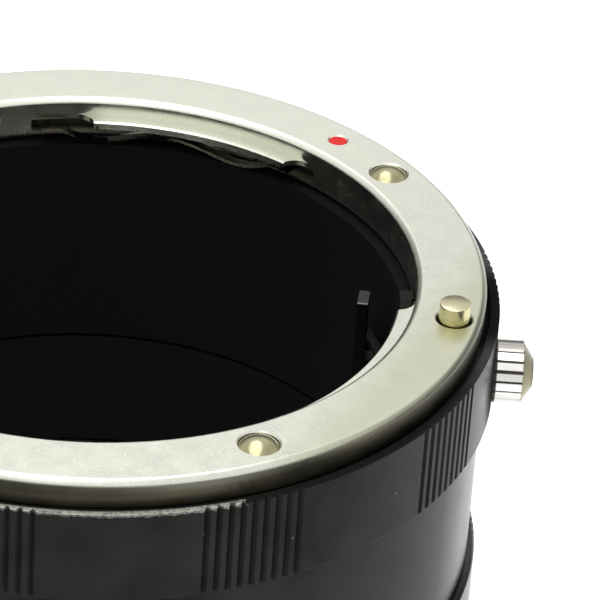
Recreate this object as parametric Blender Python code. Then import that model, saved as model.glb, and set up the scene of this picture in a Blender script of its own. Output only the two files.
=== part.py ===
"""Macro extension tube: a lens-side bayonet ring on a knurled barrel, with a sprung lens lock,
leaf springs, a light baffle and an aperture post, screwed onto a camera-side ring.

Metres, +Z up along the optical axis towards the lens. The tube stands on its camera-side rim,
and its lock knob points along +X.
"""

import math

import bmesh
import bpy
from mathutils import Matrix, Vector

MM = 0.001

# Fits and facets
GAP = 0.3 * MM  # between pieces that seat on each other
RUNNING_GAP = 0.2 * MM  # round the lock pin in the face
OVERCUT = 1.0 * MM  # how far a cutter runs past the wall it cuts
RING_FACETS = 48
SMALL_FACETS = 14
FINE_FACETS = 24  # for small round pieces that show
ARC_STEP = 4.0  # degrees between the points of an arc

# Heights, from the table up
BAYONET_REACH = 4.6 * MM  # rim to the face that meets the camera
REAR_FLANGE_T = 2.0 * MM
REAR_GRIP_H = 8.0 * MM
THREAD_L = 4.0 * MM
BODY_H = 15.1 * MM
GRIP_H = 8.2 * MM
FACE_RISE = 2.2 * MM  # the plated face above the grip's top
FLANGE_T = 2.5 * MM
SKIRT_H = 3.7 * MM  # face to the skirt's lower edge
BAFFLE_DROP = 4.05 * MM  # face to the top of the light baffle
BAFFLE_L = 20.2 * MM
BAFFLE_LIP_T = 0.8 * MM
SHOULDER_DROP = 17.0 * MM  # face to the end of the thick upper wall
SHOULDER_TAPER = 2.9 * MM

# Lens-side ring
THROAT_R = 27.05 * MM
FACE_W = 5.45 * MM  # throat to the outer edge of the flat face
FACE_CHAMFER = 0.42 * MM
THROAT_CHAMFER = 0.4 * MM
SKIRT_WALL = 1.2 * MM
TAB_REACH = 1.43 * MM
TAB_DROP = 1.54 * MM
TAB_T = 0.7 * MM
TAB_CHAMFER = 0.15 * MM
TAB_END_R = 1.75 * MM  # radius that the cutter leaves at a tab's ends
TAB_END_STEPS = 4
TABS = ((-35.3, 59.4), (74.25, 40.5), (196.0, 58.0))  # centre and width, degrees
WINDOW_DROP = 2.0 * MM
WINDOW_H = 1.4 * MM
WINDOW_INSIDE = 2.5  # degrees of a window behind the tab's end
WINDOW_LOW = 5.3  # degrees past the tab's clockwise end
WINDOW_HIGH = 12.0  # degrees past its other end

# Leaf springs under the tabs
LEAF_T = 0.22 * MM
LEAF_W = 0.95 * MM
LEAF_BOW = 1.05 * MM
LEAF_EAR_W = 1.05 * MM
LEAF_EAR = 2.7  # degrees
LEAF_EAR_SLOPE = 0.1  # degrees over which the strip widens into its ear
LEAF_LOW = 0.5  # degrees past the tab's clockwise end
LEAF_HIGH = 10.5  # degrees past its other end
LEAF_FLAT = 4.5  # degrees of flat strip at each end
LEAF_SKEW = 1.6  # above 1 puts each bow's lowest point nearer the ends
LEAF_STEPS = 20

# Barrel and grip
RIM_GROOVE = 0.41 * MM  # open groove between the plated rim and the barrel
GRIP_LIP = 0.82 * MM
GRIP_STEP = 0.85 * MM
EDGE_CHAMFER = 0.15 * MM
THREAD_WALL = 1.8 * MM
THREAD_TUBE_T = 1.8 * MM
KNURL_GROUPS = 10
KNURL_GROOVES = 9
KNURL_PITCH = 1.66  # degrees
KNURL_PHASE = 8.3  # degrees from +X to the middle of a group
KNURL_W = 0.74 * MM
KNURL_DEPTH = 0.42 * MM

# Light baffle
BAFFLE_LEDGE = 0.95 * MM  # ledge that shows inside the throat
BAFFLE_WALL = 1.1 * MM

# Camera-side ring
REAR_GRIP_INSET = 0.2 * MM  # rear grip inside the front grip's radius
REAR_FLANGE_INSET = 1.5 * MM
MALE_BORE_INSET = 4.75 * MM  # male bore inside the throat's radius
MALE_WALL = 2.9 * MM
LUG_REACH = 1.4 * MM
LUG_DROP = 1.5 * MM  # lugs above the rim
LUG_T = 1.3 * MM
LUG_WIDTH = 46.0  # degrees
LUGS = (20.0, 140.0, 260.0)
REAR_WALL = 3.9 * MM
REAR_WALL_H = 4.6 * MM
REAR_WALL_TAPER = 1.2 * MM
TRAP_TOP_WALL = 0.9 * MM
TRAP_FOOT_H = 1.1 * MM
TRAP_INSET = 0.7 * MM  # of the trap's mouth from the male bore

# Screws
HEAD_R = 1.6 * MM
HEAD_SINK = 0.2 * MM
DOME_H = 0.6 * MM
DOME_STEPS = 3
SHANK_R = 0.85 * MM
SHANK_L = 6.0 * MM
SCREW_INSET = 2.55 * MM  # from the face's edge
SCREW_AXIS = -12.15  # degrees; the four screws lie evenly about this line
SCREW_SPREAD = (47.8, 132.2)
REAR_SCREW_INSET = 2.6 * MM
REAR_SCREWS = (-15.0, 75.0, 165.0, 255.0)
REAR_HEAD_T = 0.8 * MM
REAR_SHANK_L = 4.2 * MM
SLOT_W = 0.4 * MM
SLOT_DEPTH = 0.35 * MM

# Index dots
DOT_R = 0.8 * MM
DOT_T = 0.6 * MM
DOT_SINK = 0.1 * MM
DOT_INSET = 2.43 * MM
DOT_ANGLE = 48.9
CAMERA_LOCK_R = 1.6 * MM
CAMERA_LOCK_ANGLE = -52.0

# Lens lock
PIN_R = 1.3 * MM
PIN_INSET = 1.83 * MM
PIN_ANGLE = -10.7
PIN_PROUD = 1.5 * MM
PIN_EDGE = 0.12 * MM
PIN_COLLAR_R = 1.7 * MM
PIN_COLLAR_T = 1.2 * MM
PIN_TAIL_R = 0.9 * MM
PIN_SEAT = 1.5 * MM  # depth of its hole in the carriage
LOCK_TRAVEL = 1.7 * MM
CARRIAGE_H = 2.4 * MM
CARRIAGE_T = 3.6 * MM
CARRIAGE_SPAN = (-15.6, 4.8)  # degrees
CHAMBER_SIDE = 1.5  # degrees of free space past each end of the carriage
STEM_R = 0.9 * MM
STEM_IN = 1.9 * MM  # stem inside the carriage
KNOB_R = 2.72 * MM
KNOB_DROP = 8.4 * MM
KNOB_NOTCH = 0.55 * MM  # depth of the grip's notch, into which the knob's inner end is sunk
NOTCH_STEPS = 10
KNOB_L = 3.52 * MM
KNOB_CONE_L = 0.95 * MM
KNOB_END_R = 1.25 * MM
KNOB_BORE_L = 1.6 * MM
KNOB_FLUTES = 18
FLUTE_DEPTH = 0.2 * MM
FLUTE_SHARE = 0.45  # part of a flute's pitch that is groove
SPRING_R = 1.35 * MM
SPRING_WIRE_R = 0.2 * MM
SPRING_L = 5.9 * MM
SPRING_TURNS = 4
SPRING_STEPS = 10
GUIDE_R = 0.7 * MM
GUIDE_L = 3.6 * MM

# Aperture post, seen from the bayonet side
POST_STAND = 2.1 * MM  # blade's middle inside the pad's outer face
POST_ANGLE = 15.6
POST_YAW = -5.0  # degrees that its broad side is turned from +Y
POST_T = 0.9 * MM
POST_W = 2.0 * MM
POST_DROP = 6.0 * MM
PAD_DROP = 11.6 * MM
PAD_H = 3.8 * MM
PAD_T = 0.8 * MM
PAD_SPAN = (7.5, 23.5)  # degrees
ARM_H = 1.2 * MM
POST_SCREW_SPREAD = 4.6  # degrees each side of the pad's middle
POST_SCREW_R = 0.55 * MM
POST_HEAD_R = 1.0 * MM
POST_HEAD_T = 0.5 * MM
POST_SCREW_BITE = 1.6 * MM

# Levels
REAR_FLANGE_TOP = BAYONET_REACH + REAR_FLANGE_T
REAR_BARREL_Z = REAR_FLANGE_TOP + GAP
REAR_GRIP_TOP = REAR_BARREL_Z + REAR_GRIP_H
BODY_Z = REAR_GRIP_TOP + GAP
GRIP_Z = BODY_Z + BODY_H
GRIP_TOP = GRIP_Z + GRIP_H
FACE_Z = GRIP_TOP + FACE_RISE
FLANGE_Z = FACE_Z - FLANGE_T
RECESS_Z = FLANGE_Z - GAP
SKIRT_Z = FACE_Z - SKIRT_H
TAB_TOP = FACE_Z - TAB_DROP
TAB_Z = TAB_TOP - TAB_T
LEAF_TOP = TAB_Z - GAP
BAFFLE_TOP = FACE_Z - BAFFLE_DROP
LIP_SEAT_Z = BAFFLE_TOP - BAFFLE_LIP_T - GAP
SHOULDER_Z = FACE_Z - SHOULDER_DROP
KNOB_Z = FACE_Z - KNOB_DROP
CARRIAGE_Z = KNOB_Z - CARRIAGE_H / 2
CHAMBER_Z = CARRIAGE_Z - LOCK_TRAVEL - GAP
SPRING_TOP = CARRIAGE_Z - GAP
POCKET_Z = SPRING_TOP - SPRING_L - GAP

# Radii
FACE_R = THROAT_R + FACE_W
SKIRT_R = THROAT_R + SKIRT_WALL
TAB_R = THROAT_R - TAB_REACH
RIM_R = FACE_R + FACE_CHAMFER
RECESS_R = RIM_R + RIM_GROOVE
GRIP_R = RECESS_R + GRIP_LIP
BODY_R = GRIP_R - GRIP_STEP
THREAD_R = BODY_R - THREAD_WALL
LIP_SEAT_R = SKIRT_R + GAP
BAFFLE_R = THROAT_R - BAFFLE_LEDGE
BAFFLE_OUT_R = BAFFLE_R + BAFFLE_WALL
SHOULDER_R = BAFFLE_OUT_R + GAP
LEAF_OUT_R = THROAT_R - GAP
REAR_GRIP_R = GRIP_R - REAR_GRIP_INSET
MALE_THREAD_R = THREAD_R - GAP
THREAD_BORE_R = MALE_THREAD_R - THREAD_TUBE_T
REAR_FLANGE_R = REAR_GRIP_R - REAR_FLANGE_INSET
REAR_BORE_R = MALE_THREAD_R - REAR_WALL
MALE_BORE_R = THROAT_R - MALE_BORE_INSET
MALE_R = MALE_BORE_R + MALE_WALL
SCREW_ORBIT = FACE_R - SCREW_INSET
DOT_ORBIT = FACE_R - DOT_INSET
PIN_ORBIT = FACE_R - PIN_INSET
REAR_SCREW_ORBIT = REAR_FLANGE_R - REAR_SCREW_INSET
CHAMBER_R = PIN_ORBIT + PIN_COLLAR_R + GAP
CARRIAGE_R = CHAMBER_R - GAP
CARRIAGE_BORE_R = CARRIAGE_R - CARRIAGE_T
NOTCH_R = GRIP_R - KNOB_NOTCH
KNOB_BASE_R = NOTCH_R + GAP
KNOB_REACH = KNOB_BASE_R + KNOB_L
PAD_R = BAFFLE_R - GAP
POST_R = PAD_R - POST_STAND

# The optical axis lies a little off the origin, which is the middle of the whole outline.
AXIS_X = (GRIP_R - KNOB_REACH) / 2


def polar(radius, degrees, z=0.0):
    """A point at this radius and angle from the optical axis."""
    angle = math.radians(degrees)
    return Vector((radius * math.cos(angle), radius * math.sin(angle), z))


def material(name, colour, metallic, roughness):
    """A plain finish, made once and then shared."""
    made = bpy.data.materials.get(name)
    if made:
        return made
    made = bpy.data.materials.new(name)
    made.use_nodes = True
    shader = made.node_tree.nodes["Principled BSDF"]
    shader.inputs["Base Color"].default_value = (*colour, 1.0)
    shader.inputs["Metallic"].default_value = metallic
    shader.inputs["Roughness"].default_value = roughness
    return made


def satin_plate():
    return material("satin_plate", (0.72, 0.73, 0.66), 1.0, 0.38)


def black_anodised():
    return material("black_anodised", (0.02, 0.02, 0.021), 0.6, 0.42)


def matt_black():
    return material("matt_black", (0.008, 0.008, 0.008), 0.0, 0.8)


def brass_plate():
    return material("brass_plate", (0.62, 0.58, 0.38), 1.0, 0.3)


def bright_chrome():
    return material("bright_chrome", (0.82, 0.81, 0.78), 1.0, 0.12)


def spring_steel():
    return material("spring_steel", (0.45, 0.43, 0.38), 1.0, 0.3)


def dark_steel():
    return material("dark_steel", (0.14, 0.14, 0.14), 1.0, 0.45)


def index_red():
    return material("index_red", (0.75, 0.02, 0.02), 0.0, 0.35)


def anchor(name, parent, place):
    """An empty that carries one group of pieces."""
    made = bpy.data.objects.new(name, None)
    made.location = place
    made.parent = parent
    bpy.context.scene.collection.objects.link(made)
    return made


def finish(name, shape, finish_material=None, parent=None):
    """Turns a bmesh into a smooth-shaded object. Without a material it is a cutter or guide."""
    bmesh.ops.recalc_face_normals(shape, faces=shape.faces[:])
    mesh = bpy.data.meshes.new(name)
    shape.to_mesh(mesh)
    shape.free()
    made = bpy.data.objects.new(name, mesh)
    made.parent = parent
    bpy.context.scene.collection.objects.link(made)
    if finish_material:
        mesh.materials.append(finish_material)
        mesh.shade_smooth()
        mesh.set_sharp_from_angle(angle=math.radians(30))
    else:
        made.hide_render = True
        made.display_type = "WIRE"
    return made


def spun(profile, facets=RING_FACETS, place=None):
    """A turned solid: the outline in radius and height, spun about the Z axis.

    An outline whose ends lie on the axis is left open there, and any other is closed.
    """
    shape = bmesh.new()
    points = [shape.verts.new((radius, 0.0, z)) for radius, z in profile]
    edges = [shape.edges.new(pair) for pair in zip(points, points[1:])]
    if profile[0][0] > 0.0:
        edges.append(shape.edges.new((points[-1], points[0])))
    bmesh.ops.spin(
        shape, geom=points + edges, cent=(0, 0, 0), axis=(0, 0, 1),
        angle=math.tau, steps=facets, use_merge=True,
    )
    bmesh.ops.remove_doubles(shape, verts=shape.verts[:], dist=MM * 1e-4)
    if place is not None:
        bmesh.ops.transform(shape, matrix=place, verts=shape.verts[:])
    return shape


def prism(outline, low, high):
    """A flat outline, given as points in X and Y, extruded between two heights."""
    shape = bmesh.new()
    face = shape.faces.new([shape.verts.new((point[0], point[1], low)) for point in outline])
    grown = bmesh.ops.extrude_face_region(shape, geom=[face])["geom"]
    top = [item for item in grown if isinstance(item, bmesh.types.BMVert)]
    bmesh.ops.translate(shape, verts=top, vec=(0, 0, high - low))
    return shape


def placed_box(place, near, far, half_width):
    """The corners of a rectangle along its own X, put where the matrix says."""
    corners = ((near, -half_width), (far, -half_width), (far, half_width), (near, half_width))
    return [place @ Vector((x, y, 0.0)) for x, y in corners]


def arc(radius, start, end, step=ARC_STEP):
    """Points along an arc, both ends among them."""
    count = max(2, math.ceil(abs(end - start) / step))
    return [polar(radius, start + (end - start) * i / count) for i in range(count + 1)]


def sector(inner, outer, start, end, low, high):
    """A piece of a ring between two angles."""
    return prism(arc(inner, start, end) + arc(outer, end, start), low, high)


def gathered(shapes):
    """Several bmeshes in one, for a cutter that works in many places."""
    whole = bmesh.new()
    for shape in shapes:
        mesh = bpy.data.meshes.new("piece")
        shape.to_mesh(mesh)
        shape.free()
        whole.from_mesh(mesh)
        bpy.data.meshes.remove(mesh)
    return whole


def apply_shape(target, name, shape, operation="DIFFERENCE"):
    """Cuts, joins or crops an object with a shape that shares its parent."""
    tool = finish(f"{target.name}_{name}", shape, parent=target.parent)
    modifier = target.modifiers.new(name, "BOOLEAN")
    modifier.operation = operation
    modifier.solver = "EXACT"
    modifier.object = tool
    return tool


def cylinder(radius, low, high, centre=(0.0, 0.0), facets=SMALL_FACETS):
    """An upright cylinder about a point in the plane."""
    place = Matrix.Translation((centre[0], centre[1], 0.0))
    return spun([(0.0, low), (radius, low), (radius, high), (0.0, high)], facets, place)


def radial_frame(degrees, z, radius=0.0):
    """Places a shape turned about Z so that its axis points outwards at this angle and height."""
    turn = Matrix.Rotation(math.radians(degrees), 4, "Z") @ Matrix.Rotation(math.pi / 2, 4, "Y")
    return Matrix.Translation(polar(radius, degrees, z)) @ turn


def knurl_cutter(radius, low, high):
    """V grooves in groups round a grip, each group a few degrees wide."""
    half = KNURL_W / 2
    slope = half / KNURL_DEPTH
    wide = half + OVERCUT * slope
    grooves = []
    for group in range(KNURL_GROUPS):
        middle = KNURL_PHASE + group * 360.0 / KNURL_GROUPS
        for index in range(KNURL_GROOVES):
            angle = middle + (index - (KNURL_GROOVES - 1) / 2) * KNURL_PITCH
            turn = Matrix.Rotation(math.radians(angle), 4, "Z")
            root = (radius - KNURL_DEPTH, 0.0)
            corners = (root, (radius + OVERCUT, -wide), (radius + OVERCUT, wide))
            grooves.append(prism([turn @ Vector((x, y, 0.0)) for x, y in corners], low, high))
    return gathered(grooves)


def tab_outline(start, end):
    """A tab seen along the axis, its ends hollowed where the milling cutter ran out."""
    def hollow_end(edge, side):
        points = []
        for i in range(TAB_END_STEPS + 1):
            angle = math.pi / 2 * i / TAB_END_STEPS
            radius = THROAT_R - TAB_END_R * (1 - math.sin(angle))
            offset = TAB_END_R * (1 - math.cos(angle)) * side
            points.append(polar(radius, edge + math.degrees(offset / THROAT_R)))
        return points

    inside = TAB_R - OVERCUT
    outside = SKIRT_R + OVERCUT
    spread = math.degrees(TAB_END_R / THROAT_R)
    outline = arc(inside, start, end) + hollow_end(end, 1)
    outline += arc(outside, end + spread, start - spread) + hollow_end(start, -1)[::-1]
    return outline


def tab_ends():
    """Each tab's two edges, in degrees."""
    return [(middle - width / 2, middle + width / 2) for middle, width in TABS]


def lens_bayonet(parent):
    """The plated lens-side ring: face, rim, skirt with windows, and three inward tabs."""
    profile = [
        (THROAT_R + THROAT_CHAMFER, FACE_Z), (FACE_R, FACE_Z), (RIM_R, FACE_Z - FACE_CHAMFER),
        (RIM_R, FLANGE_Z), (SKIRT_R, FLANGE_Z), (SKIRT_R, SKIRT_Z),
        (THROAT_R, SKIRT_Z), (THROAT_R, FACE_Z - THROAT_CHAMFER),
    ]
    ring = finish("lens_bayonet", spun(profile), satin_plate(), parent)

    root = (THROAT_R + SKIRT_R) / 2
    rib = [
        (TAB_R + TAB_CHAMFER, TAB_TOP), (root, TAB_TOP), (root, TAB_Z),
        (TAB_R, TAB_Z), (TAB_R, TAB_TOP - TAB_CHAMFER),
    ]
    tabs = apply_shape(ring, "tabs", spun(rib), "UNION")
    outlines = [prism(tab_outline(*ends), TAB_Z - OVERCUT, TAB_TOP + OVERCUT) for ends in tab_ends()]
    apply_shape(tabs, "outline", gathered(outlines), "INTERSECT")

    windows = []
    for low_end, high_end in tab_ends():
        for start, end in (
            (low_end - WINDOW_LOW, low_end + WINDOW_INSIDE),
            (high_end - WINDOW_INSIDE, high_end + WINDOW_HIGH),
        ):
            bottom = FACE_Z - WINDOW_DROP - WINDOW_H
            windows.append(
                sector(TAB_R, THROAT_R + LEAF_EAR_W + GAP, start, end, bottom, bottom + WINDOW_H)
            )
    for index, window in enumerate(windows, 1):
        apply_shape(ring, f"window_{index}", window)

    holes = [cylinder(PIN_R + RUNNING_GAP, FLANGE_Z - OVERCUT, FACE_Z + OVERCUT, pin_place(), FINE_FACETS)]
    holes.append(cylinder(DOT_R + GAP, FACE_Z - DOT_T - DOT_SINK - GAP, FACE_Z + OVERCUT, dot_place()))
    for angle in screw_angles():
        place = Matrix.Translation(polar(SCREW_ORBIT, angle))
        stepped = [
            (0.0, FLANGE_Z - OVERCUT), (SHANK_R + GAP, FLANGE_Z - OVERCUT),
            (SHANK_R + GAP, FACE_Z - HEAD_SINK - GAP), (HEAD_R + GAP, FACE_Z - HEAD_SINK - GAP),
            (HEAD_R + GAP, FACE_Z + OVERCUT), (0.0, FACE_Z + OVERCUT),
        ]
        holes.append(spun(stepped, SMALL_FACETS, place))
    apply_shape(ring, "holes", gathered(holes))
    return ring


def pin_place():
    return polar(PIN_ORBIT, PIN_ANGLE)


def dot_place():
    return polar(DOT_ORBIT, DOT_ANGLE)


def screw_angles():
    return [SCREW_AXIS + side * spread for spread in SCREW_SPREAD for side in (1, -1)]


def lens_screws(parent):
    """Four smooth domed screws in the face, all from one mesh."""
    seat = FACE_Z - HEAD_SINK
    sphere_r = (HEAD_R ** 2 + DOME_H ** 2) / (2 * DOME_H)
    half_angle = math.asin(HEAD_R / sphere_r)
    dome = []
    for i in range(DOME_STEPS + 1):
        angle = half_angle * (1 - i / DOME_STEPS)
        dome.append((sphere_r * math.sin(angle), seat + DOME_H - sphere_r * (1 - math.cos(angle))))
    dome[-1] = (0.0, dome[-1][1])
    shank = [(0.0, seat - SHANK_L), (SHANK_R, seat - SHANK_L), (SHANK_R, seat - GAP / 2)]
    profile = shank + [(HEAD_R, seat - GAP / 2)] + dome
    first = finish("lens_screw_1", spun(profile, SMALL_FACETS), brass_plate(), parent)
    for number, angle in enumerate(screw_angles(), 1):
        screw = first if number == 1 else bpy.data.objects.new(f"lens_screw_{number}", first.data)
        if number > 1:
            bpy.context.scene.collection.objects.link(screw)
            screw.parent = parent
        screw.location = polar(SCREW_ORBIT, angle)


def index_dot(parent):
    """A red dot let into the face."""
    top = FACE_Z - DOT_SINK
    finish("index_dot", cylinder(DOT_R, top - DOT_T, top, dot_place()), index_red(), parent)


def leaf_height(share):
    """How far the strip has bowed down, from its middle at 0 to the start of its flat end at 1."""
    return LEAF_BOW * math.sin(math.pi * min(share, 1.0) ** LEAF_SKEW)


def leaf_springs(parent):
    """A thin strip under each tab, bowed down on both sides, with an ear in each window."""
    for number, (low_end, high_end) in enumerate(tab_ends(), 1):
        start = low_end - LEAF_LOW
        end = high_end + LEAF_HIGH
        middle = (start + end) / 2
        half = (end - start) / 2
        inner_r = LEAF_OUT_R - LEAF_W
        angles = [start + 2 * half * i / LEAF_STEPS for i in range(LEAF_STEPS + 1)]
        for edge, inward in ((start, 1), (end, -1)):
            angles += [edge + inward * LEAF_EAR, edge + inward * (LEAF_EAR + LEAF_EAR_SLOPE)]
        shape = bmesh.new()
        rings = []
        for angle in sorted(angles):
            share = abs(angle - middle) / (half - LEAF_FLAT)
            z = LEAF_TOP - leaf_height(share)
            ear = min(angle - start, end - angle) < LEAF_EAR + LEAF_EAR_SLOPE / 2
            outer_r = THROAT_R + LEAF_EAR_W if ear else LEAF_OUT_R
            corners = ((inner_r, z - LEAF_T), (outer_r, z - LEAF_T), (outer_r, z), (inner_r, z))
            rings.append([shape.verts.new(polar(r, angle, height)) for r, height in corners])
        for near, far in zip(rings, rings[1:]):
            for i in range(4):
                j = (i + 1) % 4
                shape.faces.new((near[i], near[j], far[j], far[i]))
        shape.faces.new(rings[0])
        shape.faces.new(rings[-1])
        finish(f"leaf_spring_{number}", shape, spring_steel(), parent)


def post_screw_angles():
    middle = sum(PAD_SPAN) / 2
    return (middle - POST_SCREW_SPREAD, middle + POST_SCREW_SPREAD)


def post_screw_z():
    return FACE_Z - PAD_DROP - PAD_H / 2


def post_screw_reach():
    return SHOULDER_R + POST_SCREW_BITE


def post_screw_holes():
    """Round holes through the pad, the baffle and into the barrel."""
    start = PAD_R - PAD_T - OVERCUT
    length = post_screw_reach() + GAP - start
    profile = [(0.0, 0.0), (POST_SCREW_R + GAP, 0.0), (POST_SCREW_R + GAP, length), (0.0, length)]
    z = post_screw_z()
    return gathered([
        spun(profile, SMALL_FACETS, radial_frame(angle, z, start)) for angle in post_screw_angles()
    ])


def knob_notch():
    """The notch in the grip, round above the knob and open below it, where the knob slides."""
    radius = KNOB_R + GAP
    outline = [(-(GRIP_Z - OVERCUT), -radius), (-(GRIP_Z - OVERCUT), radius)]
    for i in range(NOTCH_STEPS + 1):
        angle = math.pi * i / NOTCH_STEPS
        outline.append((-(KNOB_Z + radius * math.sin(angle)), radius * math.cos(angle)))
    notch = prism(outline, NOTCH_R, GRIP_R + OVERCUT)
    bmesh.ops.rotate(
        notch, cent=(0, 0, 0), verts=notch.verts[:], matrix=Matrix.Rotation(math.pi / 2, 3, "Y")
    )
    return notch


def front_barrel(parent):
    """The black barrel: grip, smooth body, seat for the plated ring, chamber for the lock."""
    profile = [
        (BODY_R, BODY_Z), (BODY_R, GRIP_Z), (GRIP_R - EDGE_CHAMFER, GRIP_Z),
        (GRIP_R, GRIP_Z + EDGE_CHAMFER), (GRIP_R, GRIP_TOP), (RECESS_R, GRIP_TOP),
        (RECESS_R, RECESS_Z), (LIP_SEAT_R, RECESS_Z), (LIP_SEAT_R, LIP_SEAT_Z),
        (SHOULDER_R, LIP_SEAT_Z), (SHOULDER_R, SHOULDER_Z),
        (THREAD_R, SHOULDER_Z - SHOULDER_TAPER), (THREAD_R, BODY_Z),
    ]
    barrel = finish("front_barrel", spun(profile), black_anodised(), parent)
    apply_shape(barrel, "knurl", knurl_cutter(GRIP_R, GRIP_Z - GAP, GRIP_TOP + OVERCUT))

    start, end = CARRIAGE_SPAN[0] - CHAMBER_SIDE, CARRIAGE_SPAN[1] + CHAMBER_SIDE
    chamber = sector(BAFFLE_R, CHAMBER_R, start, end, CHAMBER_Z, RECESS_Z + OVERCUT)
    apply_shape(barrel, "chamber", chamber)

    pocket_r = SPRING_R + SPRING_WIRE_R + GAP
    pocket = cylinder(pocket_r, POCKET_Z, CHAMBER_Z + OVERCUT, pin_place())
    slot_r = STEM_R + GAP
    slot = []
    for i in range(SMALL_FACETS):
        angle = math.tau * (i + 0.5) / SMALL_FACETS
        drop = LOCK_TRAVEL if math.sin(angle) < 0 else 0.0
        slot.append((-(KNOB_Z + slot_r * math.sin(angle) - drop), slot_r * math.cos(angle)))
    window = prism(slot, PIN_ORBIT, GRIP_R + OVERCUT)
    bmesh.ops.rotate(
        window, cent=(0, 0, 0), verts=window.verts[:], matrix=Matrix.Rotation(math.pi / 2, 3, "Y")
    )
    apply_shape(barrel, "spring_pocket", pocket)
    apply_shape(barrel, "knob_notch", knob_notch())
    apply_shape(barrel, "stem_slot", window)

    bottom = FACE_Z - HEAD_SINK - SHANK_L - GAP
    holes = [
        cylinder(SHANK_R + GAP, bottom, RECESS_Z + OVERCUT, polar(SCREW_ORBIT, angle))
        for angle in screw_angles()
    ]
    apply_shape(barrel, "screw_holes", gathered(holes))
    apply_shape(barrel, "post_holes", post_screw_holes())
    return barrel


def light_baffle(parent):
    """The thin dark sleeve inside the barrel, hung by its lip."""
    low = BAFFLE_TOP - BAFFLE_L
    profile = [
        (BAFFLE_R, low), (BAFFLE_OUT_R, low), (BAFFLE_OUT_R, BAFFLE_TOP - BAFFLE_LIP_T),
        (SKIRT_R, BAFFLE_TOP - BAFFLE_LIP_T), (SKIRT_R, BAFFLE_TOP), (BAFFLE_R, BAFFLE_TOP),
    ]
    sleeve = finish("light_baffle", spun(profile), matt_black(), parent)
    apply_shape(sleeve, "post_holes", post_screw_holes())


def aperture_post(parent):
    """An upright strip inside the bore, on a curved pad that two screws hold to the wall."""
    pad_top = FACE_Z - PAD_DROP
    pad = sector(PAD_R - PAD_T, PAD_R, *PAD_SPAN, pad_top - PAD_H, pad_top)
    post = finish("aperture_post", pad, dark_steel(), parent)

    foot = polar(POST_R, POST_ANGLE)
    turn = Matrix.Translation(foot) @ Matrix.Rotation(math.radians(POST_YAW), 4, "Z")
    blade = placed_box(turn, -POST_T / 2, POST_T / 2, POST_W / 2)
    upright = prism(blade, pad_top - PAD_H / 2, FACE_Z - POST_DROP)
    apply_shape(post, "upright", upright, "UNION")

    reach = PAD_R - PAD_T / 2 - POST_R
    half = POST_W / 2 - POST_T / 4
    arm = Matrix.Translation(foot) @ Matrix.Rotation(math.radians(POST_ANGLE), 4, "Z")
    low = pad_top - PAD_H / 2 + POST_T / 4
    bridge = prism(placed_box(arm, 0.0, reach, half), low, low + ARM_H)
    apply_shape(post, "arm", bridge, "UNION")
    apply_shape(post, "screw_holes", post_screw_holes())

    head = PAD_R - PAD_T - GAP
    length = post_screw_reach() - head
    profile = [
        (0.0, -POST_HEAD_T), (POST_HEAD_R, -POST_HEAD_T), (POST_HEAD_R, 0.0),
        (POST_SCREW_R, 0.0), (POST_SCREW_R, length), (0.0, length),
    ]
    for number, angle in enumerate(post_screw_angles(), 1):
        place = radial_frame(angle, post_screw_z(), head)
        finish(f"post_screw_{number}", spun(profile, SMALL_FACETS, place), dark_steel(), parent)


def rear_barrel(parent):
    """The camera-side grip ring, whose thread goes up into the front barrel."""
    taper_z = REAR_BARREL_Z + REAR_WALL_H
    thread_top = REAR_GRIP_TOP + THREAD_L
    profile = [
        (REAR_BORE_R, REAR_BARREL_Z), (REAR_GRIP_R, REAR_BARREL_Z),
        (REAR_GRIP_R, REAR_GRIP_TOP - EDGE_CHAMFER), (REAR_GRIP_R - EDGE_CHAMFER, REAR_GRIP_TOP),
        (MALE_THREAD_R, REAR_GRIP_TOP),
        (MALE_THREAD_R, thread_top), (THREAD_BORE_R, thread_top),
        (THREAD_BORE_R, taper_z + REAR_WALL_TAPER), (REAR_BORE_R, taper_z),
    ]
    barrel = finish("rear_barrel", spun(profile), black_anodised(), parent)
    knurl = knurl_cutter(REAR_GRIP_R, REAR_BARREL_Z - OVERCUT, REAR_GRIP_TOP + GAP)
    apply_shape(barrel, "knurl", knurl)

    depth = REAR_FLANGE_TOP + REAR_SHANK_L + GAP - REAR_HEAD_T
    holes = [
        cylinder(SHANK_R + GAP, REAR_BARREL_Z - OVERCUT, depth, polar(REAR_SCREW_ORBIT, angle))
        for angle in REAR_SCREWS
    ]
    apply_shape(barrel, "screw_holes", gathered(holes))
    seat = REAR_GRIP_R - DOT_T - DOT_SINK - GAP
    hole = [(0.0, 0.0), (DOT_R + GAP, 0.0), (DOT_R + GAP, DOT_T + OVERCUT), (0.0, DOT_T + OVERCUT)]
    apply_shape(barrel, "dot_seat", spun(hole, SMALL_FACETS, radial_frame(DOT_ANGLE, rear_dot_z(), seat)))

    dot = [(0.0, 0.0), (DOT_R, 0.0), (DOT_R, DOT_T), (0.0, DOT_T)]
    place = radial_frame(DOT_ANGLE, rear_dot_z(), seat + GAP)
    finish("rear_index_dot", spun(dot, SMALL_FACETS, place), index_red(), parent)


def rear_dot_z():
    return REAR_BARREL_Z + REAR_GRIP_H / 2


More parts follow.
